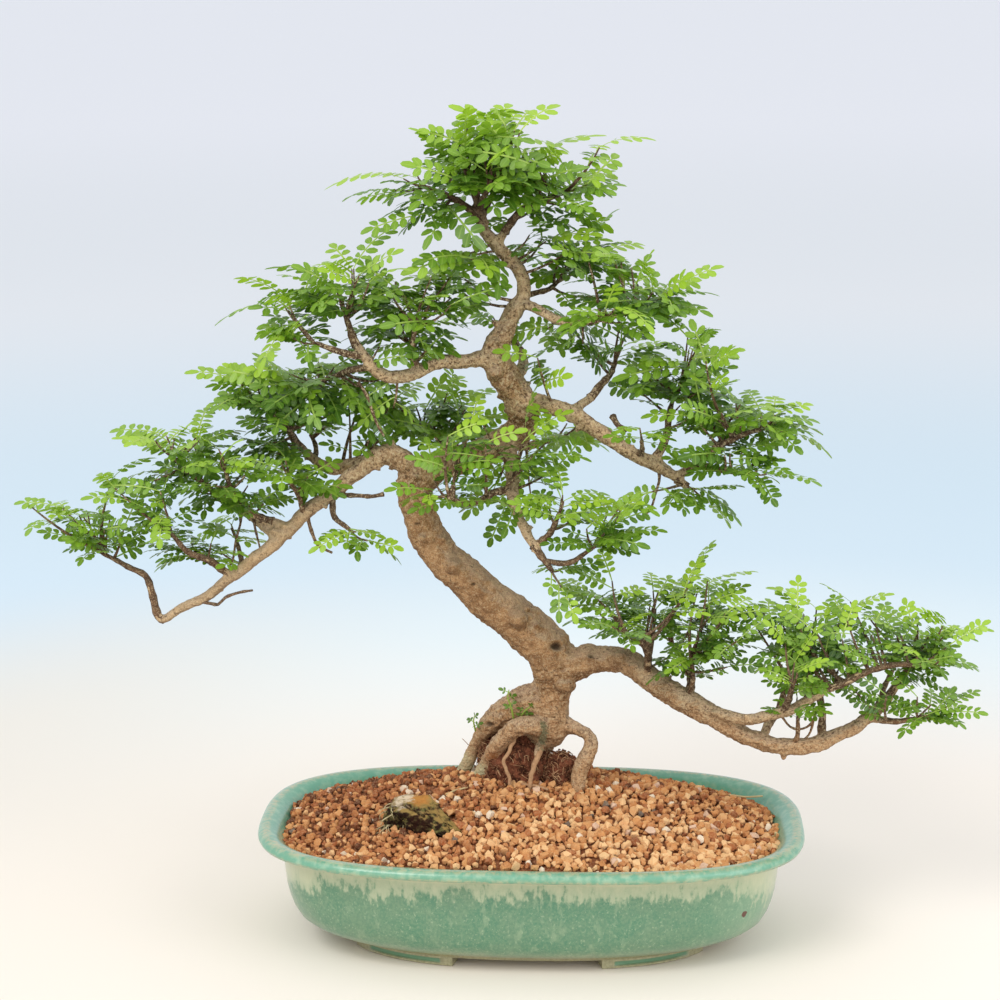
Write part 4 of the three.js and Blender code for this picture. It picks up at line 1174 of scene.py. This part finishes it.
def plan_shoot(rng, path, plan, outward=UP):
    """The leaves that leave a shoot's last stretch by turns, and the one at its tip."""
    leaves = []
    tip = unit(path[-1] - path[-2])
    level = unit(np.cross(tip, UP + np.array([0.03, 0.02, 0])))
    reach = np.linalg.norm(path[-1] - path[0])
    leafy = min(1.0, rng.uniform(16, 26) / reach)
    count = rng.choice([3, 3, 4, 5])
    hand = rng.choice([-1, 1])
    scale = 0.72 + 0.36 * (path[-1][2] - 170) / 380
    for k in range(count):
        place = (1 - leafy * (1 - k / count)) * (len(path) - 1)
        i = min(int(place), len(path) - 2)
        base = path[i] + (path[i + 1] - path[i]) * (place - i)
        hand = -hand
        along = tip * rng.uniform(0.2, 0.9) + level * hand * rng.uniform(0.7, 1.1)
        along += UP * rng.uniform(-0.3, 0.3)
        along[2] = min(along[2], 0.5)
        size = scale * rng.uniform(0.85, 1.15)
        leaf = plan_leaf(rng, base, unit(along), rng.choice([2, 3, 3, 4, 4, 5]), size, outward)
        if fits(leaf):
            leaves.append(leaf)
    ahead = unit([tip[0] + rng.gauss(0, 0.45), tip[1] + rng.gauss(0, 0.45), min(tip[2], 0.45)])
    last = plan_leaf(rng, path[-1], ahead, rng.choice([3, 4, 5]), scale * 1.08, outward)
    if fits(last):
        leaves.append(last)
    if len(leaves) > 1:
        plan["shoots"].append(path)
        plan["leaves"] += leaves


def plan_foliage(seed=41):
    rng = random.Random(seed)
    plans = {name: {"shoots": [], "leaves": []} for name in BEARERS}
    owners, roots, stoutness = [], [], []
    for name, rows in BEARERS.items():
        path, radii = limb_path(rows, 3)
        first = int(len(path) * (0.6 if name == "top" else 0.22))
        owners += [name] * (len(path) - first)
        roots += list(path[first:])
        stoutness += list(radii[first:])
        for heading in (path[-1] - path[-3], path[-1] - path[-3] + [0, 9 * rng.choice([-1, 1]), 4]):
            line = bend(path[-1], path[-1] + unit(heading) * rng.uniform(10, 18), rng)
            plan_shoot(rng, line, plans[name])
    roots, stoutness = np.array(roots), np.array(stoutness)
    for x, y, z, half_x, half_y, half_z, count in PADS:
        for _ in range(count):
            out = unit([rng.gauss(0, 1), rng.gauss(0, 1), abs(rng.gauss(0, 1)) - 0.35]) * rng.random() ** 0.35
            target = np.array([x, y, z]) + out * [half_x, half_y, half_z] * 0.85
            luck = np.array([rng.random() for _ in range(len(roots))])
            cost = near(roots, target) + 0.8 * np.maximum(0, roots[:, 2] - target[2] + 6)
            chosen = int(np.argmin(cost + 1.5 * np.maximum(0, stoutness - 4) + 4 * luck))
            root = roots[chosen]
            if np.linalg.norm(target - root) < SHORTEST_SHOOT:
                target = root + unit(target - root + UP * 3 + out) * (SHORTEST_SHOOT + 1)
            plan_shoot(rng, bend(root, target, rng), plans[owners[chosen]], out)
    return plans


PLANS = plan_foliage()
print(sum(len(plan["shoots"]) for plan in PLANS.values()), "shoots")
print(sum(len(plan["leaves"]) for plan in PLANS.values()), "leaves")

# %% [markdown]
# ## Thin twigs
#
# Twigs and shoots are dark red-brown and smoother than the bark. They are plain tubes again, a little knotty
# where leaves used to sit, and together they are one piece.

# %% Twigs and shoots
# Twigs that lost their leaves: x, y, z and radius of each point
BARE_TWIGS = [
    [(-150, -6, 292, 1.6), (-149, -7, 286, 1.4), (-146, -9, 277, 1.2), (-143, -10, 271, 1.2),
     (-138, -11, 268, 1), (-133, -12, 266, 0.9)],
    [(-223, -10, 231, 1.4), (-215, -12, 230, 1.2), (-210, -14, 230, 1.1), (-205, -15, 235, 1.1),
     (-195, -16, 239, 1), (-186, -18, 241, 0.8)],
    [(-196, 2, 287, 1.2), (-196, 1, 283, 0.9), (-199, -3, 271, 0.8), (-200, -8, 261, 0.8),
     (-202, -10, 256, 0.9)],
    [(-187, 0, 286, 1.2), (-186, -3, 282, 0.9), (-184, -6, 275, 0.8), (-182, -8, 268, 0.6)],
    [(-132, -5, 308, 1.8), (-126, -8, 305, 1.7), (-114, -12, 305, 1.5), (-106, -14, 305, 1.4),
     (-98, -16, 307, 1.5)],
    [(-114, -16, 382, 1.3), (-108, -20, 374, 1.1), (-104, -22, 363, 1), (-101, -22, 355, 0.9),
     (-97, -20, 347, 0.9)],
    [(84, -8, 323, 1.3), (84, -9, 316, 1), (82, -12, 310, 0.9), (79, -16, 300, 0.8), (74, -20, 294, 0.6)],
    [(168, -8, 156, 0.9), (174, -10, 149, 0.8), (180, -12, 148, 0.8), (187, -14, 152, 0.8),
     (191, -14, 162, 0.9)],
    [(191, -12, 163, 0.9), (189, -14, 154, 0.8), (186, -15, 145, 0.8), (180, -14, 140, 0.8),
     (176, -12, 140, 0.9)],
    [(53, -2, 358, 2.2), (57, -10, 353, 2), (62, -14, 351, 1.6)],
]


def make_twigs():
    heap = Heap()
    for seed, rows in enumerate(BEARERS.values()):
        path, radii = limb_path(rows, 3)
        thin = np.flatnonzero(radii < THICK + 0.5)
        if len(thin):
            first = max(0, int(thin[0]) - 2)
            part, widths = path[first:], radii[first:] * 0.94
            widths = [r * (1.12 if i % 3 == 0 else 0.96) for i, r in enumerate(widths)]
            if len(part) > 2:
                part = crooked(part)
                heap.add(*tube(part, widths, 7, swell(part, widths, seed * 3.7)))
    for rows in BARE_TWIGS:
        path, radii = limb_path(rows, 3)
        heap.add(*tube(path, [r * (1.2 if i % 4 == 0 else 0.95) for i, r in enumerate(radii)], 7))
    for plan in PLANS.values():
        for path in plan["shoots"]:
            stout = min(1.9, 0.75 + 0.016 * np.linalg.norm(path[-1] - path[0]))
            heap.add(*tube(path, np.linspace(stout, 0.5, len(path)), 5))
    twig_bark = make_bark("twig bark", "4d3424", "7d5d42", "6d5947", "3f2a1c")
    return add_piece("twigs", heap, twig_bark, ["trunk"])


make_twigs()

# %% [markdown]
# ## The leaves
#
# A Chinese pepper leaf is a small frond: here two to five pairs of oval leaflets on a narrow winged rib, and
# one at the tip. A picture of a leaf on a card would be cheaper, but it stays flat and needs an image. Each
# leaflet here is a little cupped shell of eleven points with a fold along its middle. A few patterns of each
# size are made flat once, then bent along an arch wherever the plan puts a leaf.

# %% Flat patterns of a leaf
# Share of the length, share of the width
LEAFLET_OUTLINE = [(0.0, 0.0), (0.2, 0.7), (0.56, 1.0), (0.9, 0.66), (1.0, 0.0)]


def add_leaflet(rows, faces, root, angle, length, width, tilt):
    """A leaflet from its root, at an angle to the rib, as rows of u, v, w and distance from its fold."""
    a = len(rows)
    c, s = math.cos(angle), math.sin(angle)
    for along, spread in LEAFLET_OUTLINE:
        lanes = [0.0] if spread == 0 else [1.0, 0.0, -1.0]
        for lane in lanes:
            u = along * length
            v = lane * spread * width / 2
            lift = abs(lane) * spread * 0.5 - 0.9 * along * along + lane * tilt
            rows.append((root[0] + u * c - v * s, root[1] + u * s + v * c, lift, abs(lane)))
    faces += [[a, a + 1, a + 2], [a, a + 2, a + 3]]
    for k in (a + 1, a + 4):
        faces += [[k, k + 3, k + 4, k + 1], [k + 1, k + 4, k + 5, k + 2]]
    faces += [[a + 7, a + 10, a + 8], [a + 8, a + 10, a + 9]]


def leaf_pattern(pairs, rng):
    """A flat leaf: its rib and its pairs of leaflets."""
    rows, faces = [], []
    end = LEAF_STALK + pairs * LEAFLET_PITCH
    stations = np.linspace(0, end, pairs + 2)
    for u in stations:
        wing = 0.35 if u < LEAF_STALK else 0.6
        rows += [(u, wing, 0.25, -0.5), (u, 0, 0, -0.5), (u, -wing, 0.25, -0.5)]
    for k in range(len(stations) - 1):
        a = 3 * k
        faces += [[a, a + 3, a + 4, a + 1], [a + 1, a + 4, a + 5, a + 2]]
    for pair in range(pairs):
        u = LEAF_STALK + (pair + 0.6) * LEAFLET_PITCH
        reach = LEAFLET_LENGTH * (0.72 if pair == 0 else 1.0) * rng.uniform(0.88, 1.06)
        for hand in (1, -1):
            angle = hand * math.radians(rng.uniform(58, 80))
            width = LEAFLET_WIDTH * reach / LEAFLET_LENGTH * rng.uniform(0.9, 1.08)
            length = reach * rng.uniform(0.92, 1.0)
            add_leaflet(rows, faces, (u, hand * 0.3), angle, length, width, rng.uniform(-0.5, 0.5))
    add_leaflet(rows, faces, (end - 0.3, 0), rng.uniform(-0.1, 0.1), LEAFLET_LENGTH, LEAFLET_WIDTH * 1.05, 0)
    return np.array(rows), faces


pattern_rng = random.Random(3)
PATTERNS = {pairs: [leaf_pattern(pairs, pattern_rng) for _ in range(5)] for pairs in range(1, 6)}
print("leaf patterns:", {pairs: len(several[0][1]) for pairs, several in PATTERNS.items()}, "faces each")

# %% [markdown]
# Young leaves at the pads' rim and top are yellow-green and the old ones inside are dark, and the same tone
# also paints light on the rim and top and shade inside the pads. How far a leaf stands out from the middle
# of its neighbours says which it is, better than chance would.

# %% Youth and painted light of each leaf
# How far a leaf's neighbours reach
NEIGHBOURS = 34


def set_youth_and_light(leaves, rng):
    """Gives each leaf its youth and painted light, by its place among its neighbours."""
    middles = np.array([rib_point(leaf, 0.6 * leaf_length(leaf["pairs"], leaf["size"])) for leaf in leaves])
    tree = kdtree.KDTree(len(leaves))
    for i, middle in enumerate(middles):
        tree.insert(middle, i)
    tree.balance()
    for leaf, middle in zip(leaves, middles):
        around = middles[[i for _, i, _ in tree.find_range(middle, NEIGHBOURS)]]
        offset = middle - around.mean(axis=0)
        out = np.linalg.norm(offset) / 16 + offset[2] / 13 - len(around) / 60
        leaf["youth"] = clamp(0.36 + 0.3 * out + rng.gauss(0, 0.17))


def make_leaf_finish():
    finish = Finish("leaf", Specular_IOR_Level=0.6)
    # Dark inside the pads, light at rim and top: young growth plus painted shade and light in one tone
    youth = finish.tone("youth")
    fold = finish.tone("fold")
    age = youth + (finish.blots(7, 2) - 0.5) * 0.25
    colour = finish.layers("3c6016", [
        (age, 0.0, 0.55, 1, "7a9f2c"),
        (age, 0.45, 1.0, 1, "a6c832"),
        (fold, 0.22, 0.02, 0.3, "b5cc68"),
        (fold, -0.1, -0.4, 0.75, finish.blend(youth, "8fae45", "bfd160")),
        (fold, 0.7, 1.0, 0.15, "35591f"),
    ])
    veins = finish.blots(0.9, 2)
    finish.let_through(0.21, "90c024")
    return finish.done(colour, 0.3 + veins * 0.2, veins + fold * 0.5, depth=0.0002, strength=0.5)


def add_leaf(heap, leaf, rng):
    """Bends one of the flat patterns along a leaf's arch."""
    rows, faces = rng.choice(PATTERNS[leaf["pairs"]])
    u, v, w = rows.T[:3] * leaf["size"]
    points = leaf["base"] + np.outer(u, leaf["along"]) + np.outer(v, leaf["side"])
    points += np.outer(w - leaf["droop"] * u * u, leaf["up"])
    heap.add(points, faces, youth=leaf["youth"], fold=rows[:, 3])


def make_leaves(name, leaves, finish, rng):
    heap = Heap("youth", "fold")
    for leaf in leaves:
        add_leaf(heap, leaf, rng)
    return add_piece(f"leaves_{name}", heap, finish, [f"spray_{name}"])


youth_rng = random.Random(8)
set_youth_and_light([leaf for plan in PLANS.values() for leaf in plan["leaves"]], youth_rng)
leaf_finish = make_leaf_finish()
for name, plan in PLANS.items():
    make_leaves(name, plan["leaves"], leaf_finish, youth_rng)

# %% [markdown]
# ## The root ball and the old stub
#
# Between the roots sits a lump of the peat in which the tree grew as a cutting, full of fibres. Left of it
# lies the stub of a dead root, cut off pale and mossy at its sides. Both are rough all over, so their meshes
# are dented with noise, and crumbs and thin fibres sit on them.

# %% Peat, crumbs and fibres
def make_peat():
    finish = Finish("peat", Roughness=1.0, Specular_IOR_Level=0.1)
    colour = finish.layers("40241a", [
        (finish.blots(5, 4), 0.35, 0.65, 1, "85503a"),
        (finish.blots(1.1, 3), 0.54, 0.64, 0.6, "ab7550"),
    ])
    return finish.done(colour, None, finish.blots(1.2, 4), depth=0.0012, strength=1.0)


# Lumps of the root ball: x, y, z of the middle and half sizes
PEAT_LUMPS = [(-10, 27, 105, 23, 16, 23), (19, 24, 104, 13, 13, 14.5), (-30, 41, 111, 9, 7, 22)]


def make_root_ball(seed=12):
    rng = random.Random(seed)
    heap = Heap()
    crumbs = chip_shapes(6, 9, rng)
    for x, y, z, *half in PEAT_LUMPS:
        points, faces = ball(5)
        dented = []
        for point in points:
            place = Vector(point)
            rough = 1 + 0.12 * noise.noise(place * 2.2 + Vector((x, 0, 0))) + 0.08 * noise.noise(place * 6.5)
            rough += 0.06 * noise.noise(place * 15)
            dented.append(point * half * rough + [x, y, z])
        heap.add(dented, faces)
        for _ in range(round(half[0] * 14)):
            out = unit([rng.gauss(0, 1), rng.gauss(0, 1) - 0.4, rng.gauss(0, 0.8)])
            points, faces = rng.choice(crumbs)
            spot = np.array([x, y, z]) + out * half * rng.uniform(0.97, 1.06)
            heap.add((points * rng.uniform(0.6, 1.5)) @ turned(rng) + spot, faces)
    return add_piece("root_ball_peat", heap, make_peat(), ["root_ball"], crease=50)


FIBRES = 760
MOSS_HAIRS = 260
LYING_ROOT = [(-7, 5, 101, 1), (-1, 3, 101, 1), (6, 2, 100, 1), (11, 0, 99, 1)]
BRISTLE = [(-49, 30, 125, 0.2), (-46, 32, 121, 0.25), (-43, 35, 118, 0.3)]
# Fine roots and their share of the given radius
HAIR_ROOTS = [(ROOTS["thin_left"], 0.72), (ROOTS["thin_middle"], 0.85), (LYING_ROOT, 1), (BRISTLE, 1)]


def make_fibres(seed=4):
    rng = random.Random(seed)
    finish = Finish("fibre", Roughness=0.95, Specular_IOR_Level=0.2)
    share = finish.tone("pale") + (finish.blots(2, 3) - 0.5) * 0.5
    colour = finish.blend(finish.step(share, -0.1, 1.0), "64341f", "d4ab80")
    heap = Heap("pale")
    for _ in range(FIBRES):
        x, y, z, *half = rng.choice(PEAT_LUMPS)
        middle = np.array([x, y, z])
        out = unit([rng.gauss(0, 1), rng.gauss(0, 0.8) - 0.6, rng.gauss(0, 0.7)])
        point = middle + out * half * 1.02
        heading = unit(np.cross(out, [rng.gauss(0, 1), rng.gauss(0, 1), rng.gauss(0, 1)]) + out * 0.5)
        path = []
        for _ in range(6):
            path.append(point)
            heading = unit(heading + np.array([rng.gauss(0, 0.35), rng.gauss(0, 0.35), rng.gauss(-0.1, 0.3)]))
            pull = unit(point - middle)
            heading = unit(heading - pull * (heading @ pull) * 0.6)
            point = point + heading * rng.uniform(0.9, 1.8)
        points, faces = tube(path, [rng.uniform(0.12, 0.26)] * 6, 4)
        heap.add(points, faces, pale=rng.choice([0.1, 0.2, 0.25, 0.35, 0.5, 0.85]))
    for rows, share in HAIR_ROOTS:
        path, radii = limb_path(rows, 1.5)
        path = [point + [noise.noise(Vector(point) * 0.3), 0, 0] for point in path]
        points, faces = tube(path, radii * share, 7, swell(path, radii, 2.0))
        heap.add(points, faces, pale=0.5)
    return add_piece("root_fibres", heap, finish.done(colour))


make_root_ball()
make_fibres()

# %% The stub
# Spots on the stub: the pale cut on its crown, the orange wood beside it, and painted shade below it
STUB_PALE = metres([-85, -44, 107])
STUB_ORANGE = metres([-74, -44, 107])
STUB_SHADE = metres([-75, -60, 92])
# The stub's hollow side, as a turn round its line
HOLLOW_TURN = 0.8
STUB = [
    (-92, -38, 80, 6), (-90, -40, 90, 7.5), (-84, -42, 97, 9.5), (-74, -45, 95, 12), (-63, -49, 90, 10),
    (-53, -53, 86, 7), (-44, -56, 83, 3.5),
]


def make_mossy_wood():
    finish = Finish("mossy wood", Roughness=0.95, Specular_IOR_Level=0.2)
    facing = finish.facing_up()
    streaks = finish.blots(2.4, 4, stretch=(2.5, 1, 1))
    drift = streaks - 0.5
    moss = finish.step(finish.blots(3, 4, roughness=0.65), 0.46, 0.66)
    crust = finish.blend(finish.step(streaks, 0.4, 0.6), "7d6a3e", "a3814f")
    colour = finish.layers(finish.blend(moss, "2a1c12", "7d7644"), [
        (streaks, 0.56, 0.7, 0.6, "a08a5c"),
        # Painted shade on the stub's undersides
        (facing + drift * 0.8, 0.05, -0.45, 0.7, "2a150c"),
        # Painted shade: a dark patch under the arch
        (finish.distance(STUB_SHADE) * 1000 + drift * 14, 13, 7, 0.75, "35180f"),
        (facing + drift * 1.6, 0.3, 0.85, 0.8, crust),
        # Painted highlight on the stub's tops
        (facing + drift * 0.8, 0.45, 0.8, 0.6, "a98a4c"),
        (finish.distance(STUB_ORANGE) * 1000 + drift * 14, 11, 6, 0.8, "c0813f"),
        (finish.distance(STUB_PALE) * 1000 + drift * 22, 10, 5, 0.9, finish.blend(moss, "dfcaac", "a88f6c")),
    ])
    return finish.done(colour, None, streaks + finish.blots(0.9, 3) * 0.6, depth=0.0014, strength=1.0)


# Hairs on the crown and at the sides: count, the way out of the skin (middle and spread of x, y and z), the
# heading, and the shortest and longest step
CROWN_HAIRS = (20, [(-0.5, 0.5), (-0.5, 0.6), (0.5, 0.4)], [-0.9, -0.4, 0.25], (1.3, 3.0))
SIDE_HAIRS = (70, [(0.2, 0.4), (-0.9, 0.4), (0.1, 0.5)], [0.7, -0.2, -0.3], (0.6, 1.1))


def add_hairs(heap, rng, path, radii, first, last, kind):
    """Thin hairs that leave a limb between its first and last ring and hang down."""
    count, leave, way, steps = kind
    for _ in range(count):
        i = rng.randrange(first, last)
        out = unit([rng.gauss(middle, spread) for middle, spread in leave])
        point = path[i] + out * radii[i] * 0.9
        hair = [point]
        heading = unit(way)
        length = rng.uniform(*steps)
        for _ in range(6):
            heading = unit(heading + np.array([rng.gauss(0, 0.45), rng.gauss(0, 0.45), -0.26]))
            point = point + heading * length
            hair.append(point)
        heap.add(*tube(hair, np.linspace(0.42, 0.18, 7), 4))


def make_stub(seed=9):
    rng = random.Random(seed)
    path, radii = limb_path(STUB, 1)
    heap, pale_hairs = Heap(), Heap()

    def ridged(i, turn):
        place = Vector((math.cos(turn) * 2, math.sin(turn) * 2, i * 0.07))
        ridge = 0.05 * math.sin(turn * 7 + 2.5 * noise.noise(place * 0.6))
        halfway = math.exp(-(((i - 0.5 * len(path)) / 8) ** 2))
        hollow = 0.36 * halfway * max(0.0, math.sin(turn + HOLLOW_TURN)) ** 3
        rough = 0.3 * noise.noise(place) + 0.19 * noise.noise(place * 3.1) + 0.1 * noise.noise(place * 7)
        return 0.95 + ridge + rough - hollow

    heap.add(*tube(path, radii, 56, ridged))
    add_hairs(pale_hairs, rng, path, radii, 2, 20, CROWN_HAIRS)
    add_hairs(heap, rng, path, radii, 10, len(path) - 3, SIDE_HAIRS)
    add_piece("mossy_stub", heap, make_mossy_wood(), ["root_stub"])
    finish = Finish("dry root hair", Roughness=0.9, Specular_IOR_Level=0.2)
    dry = finish.done(finish.blend(finish.blots(3, 3), "9c8a5c", "dccda4"))
    add_piece("stub_hairs", pale_hairs, dry)


make_stub()

# %% [markdown]
# ## Small growth and litter
#
# Three sprouts stand on the roots, a strip of grey-green moss hangs where the trunk sheds its rain, and a
# few straws lie on the soil. They are small, but without them the base looks made by machine. A line from
# the front finds the wood's surface, so that the moss sits on it.

# %% Sprouts, moss and straws
SPROUTS = [
    [(-13, 18, 143, 0.8), (-15, 14, 154, 0.6), (-17, 12, 161, 0.5), (-16, 11, 166, 0.4)],
    [(-9, 18, 144, 0.7), (-5, 13, 151, 0.5), (-2, 11, 154, 0.4)],
    [(-40, 29, 131, 0.7), (-41, 24, 140, 0.5), (-40, 23, 144, 0.4)],
]
MOSS = [(6, 14, 144, 1), (8, 13, 139, 2), (7, 12, 131, 2.2), (5, 12, 123, 1.2)]
STRAWS = [
    [(136, 43, 83), (148, 48, 80), (160, 53, 79)], [(163, -23, 76), (164, -32, 80), (164, -38, 84)],
    [(-58, -8, 97), (-52, -2, 98), (-44, 2, 99)], [(60, -40, 86), (66, -44, 86.5), (73, -45, 86)],
]


def make_sprouts(seed=15):
    rng = random.Random(seed)
    heap = Heap("youth", "fold")
    for rows in SPROUTS:
        path, radii = limb_path(rows, 1.5)
        points, faces = tube(path, radii, 5)
        heap.add(points, faces, youth=0.6, fold=-0.5)
        for k, i in enumerate(range(3, len(path), 3)):
            turn = 2.4 * k + rng.uniform(-0.4, 0.4)
            along = unit([math.cos(turn), math.sin(turn) * 0.5, rng.uniform(0.1, 0.6)])
            size = rng.uniform(0.42, 0.54)
            leaf = plan_leaf(rng, path[i] - along * 1.6, along, 1, size, np.array([0, -1.2, 0]))
            leaf["youth"] = rng.uniform(0.0, 0.25)
            add_leaf(heap, leaf, rng)
    return add_piece("base_sprouts", heap, leaf_finish)


def make_moss(seed=16):
    rng = random.Random(seed)
    path, radii = limb_path(MOSS, 0.7)
    finish = Finish("dry moss", Roughness=1.0, Specular_IOR_Level=0.1)
    colour = finish.blend(finish.step(finish.blots(1.5, 3), 0.35, 0.65), "7f7a58", "aaa07c")
    heap = Heap()
    for _ in range(MOSS_HAIRS):
        i = rng.randrange(len(path))
        x, z = path[i][0] + rng.uniform(-1, 1) * radii[i], path[i][2] + rng.uniform(-0.7, 0.7)
        found, spot, normal, _ = wood.ray_cast(Vector(metres([x, -60, z])), Vector((0, 1, 0)), distance=0.12)
        if not found:
            continue
        point = (np.array(spot) - MIDDLE) * 1000 + [0, 0.3, 0]
        heading = unit(np.array(normal) + [rng.gauss(0, 0.7), rng.gauss(0, 0.3), rng.gauss(-0.3, 0.6)])
        hair = [point, point + heading * 0.8, point + heading * 1.5 + [rng.gauss(0, 0.5), 0, -0.7]]
        heap.add(*tube(hair, [0.25, 0.22, 0.12], 4))
    return add_piece("moss_strip", heap, finish.done(colour))


def make_straws():
    finish = Finish("straw", Roughness=0.8, Specular_IOR_Level=0.3)
    colour = finish.blend(finish.blots(3, 3, stretch=(4, 1, 1)), "a98a58", "dccb9c")
    heap = Heap()
    for spots in STRAWS:
        path, radii = limb_path([(*spot, 0.7) for spot in spots], 2)
        heap.add(*tube(path, radii, 6))
    return add_piece("straws", heap, finish.done(colour))


make_sprouts()
make_moss()
make_straws()

# %% [markdown]
# ## The stage
#
# A pale floor whose tones paint light and shade, a pale sky that lights from all round, and two large soft
# lamps, as in a plant seller's photo tent. The camera stands where the picture was taken from: the pot's
# far and near rims tell its height and distance.

# %% Floor, light and camera
FLOOR_SIDES = 64
FLOOR_RADIUS = 60
# The camera's place in millimetres, its lens, and its tilt and turn in degrees
CAMERA_PLACE = [61.2, -1692.9, 660.8]
CAMERA_LENS = 93.6
CAMERA_TILT, CAMERA_TURN = 78, 2.8


def make_floor():
    finish = Finish("floor", Roughness=0.9, Specular_IOR_Level=0.1)
    # Painted light and shade: warm near the pot, a darker blue-grey ring further out, painted shade on the
    # left
    distance = finish.distance((0.15, -0.1, 0))
    colour = finish.layers("f7ede1", [
        (distance, 0.45, 0.95, 1, "e3ebeb"),
        (finish.part(finish.place, 0), 0.0, -0.55, 0.75, "e9decf"),
        (distance, 0.8, 1.3, 1, "d3e2ea"),
        (distance, 1.5, 3.5, 1, "eaebec"),
        (distance, 3.5, 9.0, 1, "f3f2f4"),
    ])
    mesh = bpy.data.meshes.new("floor")
    turns = 2 * math.pi * np.arange(FLOOR_SIDES) / FLOOR_SIDES
    level = np.full(FLOOR_SIDES, POT_LOW.z - 0.0002)
    rim = np.column_stack([FLOOR_RADIUS * np.cos(turns), FLOOR_RADIUS * np.sin(turns), level])
    mesh.from_pydata(rim, [], [list(range(FLOOR_SIDES))])
    mesh.materials.append(finish.done(colour))
    floor = bpy.data.objects.new("floor", mesh)
    bpy.context.scene.collection.objects.link(floor)
    floor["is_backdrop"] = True


def add_lamp(name, spot, size, power, colour):
    data = bpy.data.lights.new(name, "AREA")
    data.size = size
    data.energy = power
    data.color = colour
    lamp = bpy.data.objects.new(name, data)
    lamp.location = spot
    lamp.rotation_euler = (Vector((0, 0, 0.3)) - Vector(spot)).to_track_quat("-Z", "Y").to_euler()
    bpy.context.scene.collection.objects.link(lamp)


make_floor()
world = bpy.data.worlds.new("pale sky")
world.use_nodes = True
world.node_tree.nodes["Background"].inputs["Color"].default_value = tint("eef3fa")
world.node_tree.nodes["Background"].inputs["Strength"].default_value = 1.0
bpy.context.scene.world = world
add_lamp("key lamp", (-1.3, -1.9, 2.3), 1.6, 42, (1.0, 0.98, 0.95))
add_lamp("fill lamp", (1.9, -1.5, 1.3), 1.8, 21, (0.96, 0.98, 1.0))
bpy.context.scene.view_settings.view_transform = "Standard"

camera_data = bpy.data.cameras.new("camera")
camera_data.lens = CAMERA_LENS
camera_data.clip_start = 0.05
camera_data.clip_end = 200
camera = bpy.data.objects.new("camera", camera_data)
camera.location = metres(CAMERA_PLACE)
camera.rotation_euler = (math.radians(CAMERA_TILT), 0, math.radians(CAMERA_TURN))
bpy.context.scene.collection.objects.link(camera)
bpy.context.scene.camera = camera

# %% [markdown]
# ## Finish
#
# The last step prints the dressed tree's box beside the frame's.

boxes = {"cad": CAD_BOX, "visual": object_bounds()}
{label: [list(corner) for corner in corners] for label, corners in boxes.items()}
for label, (low, high) in boxes.items():
    print(label, [round(1000 * v, 1) for v in (*low, *high)])
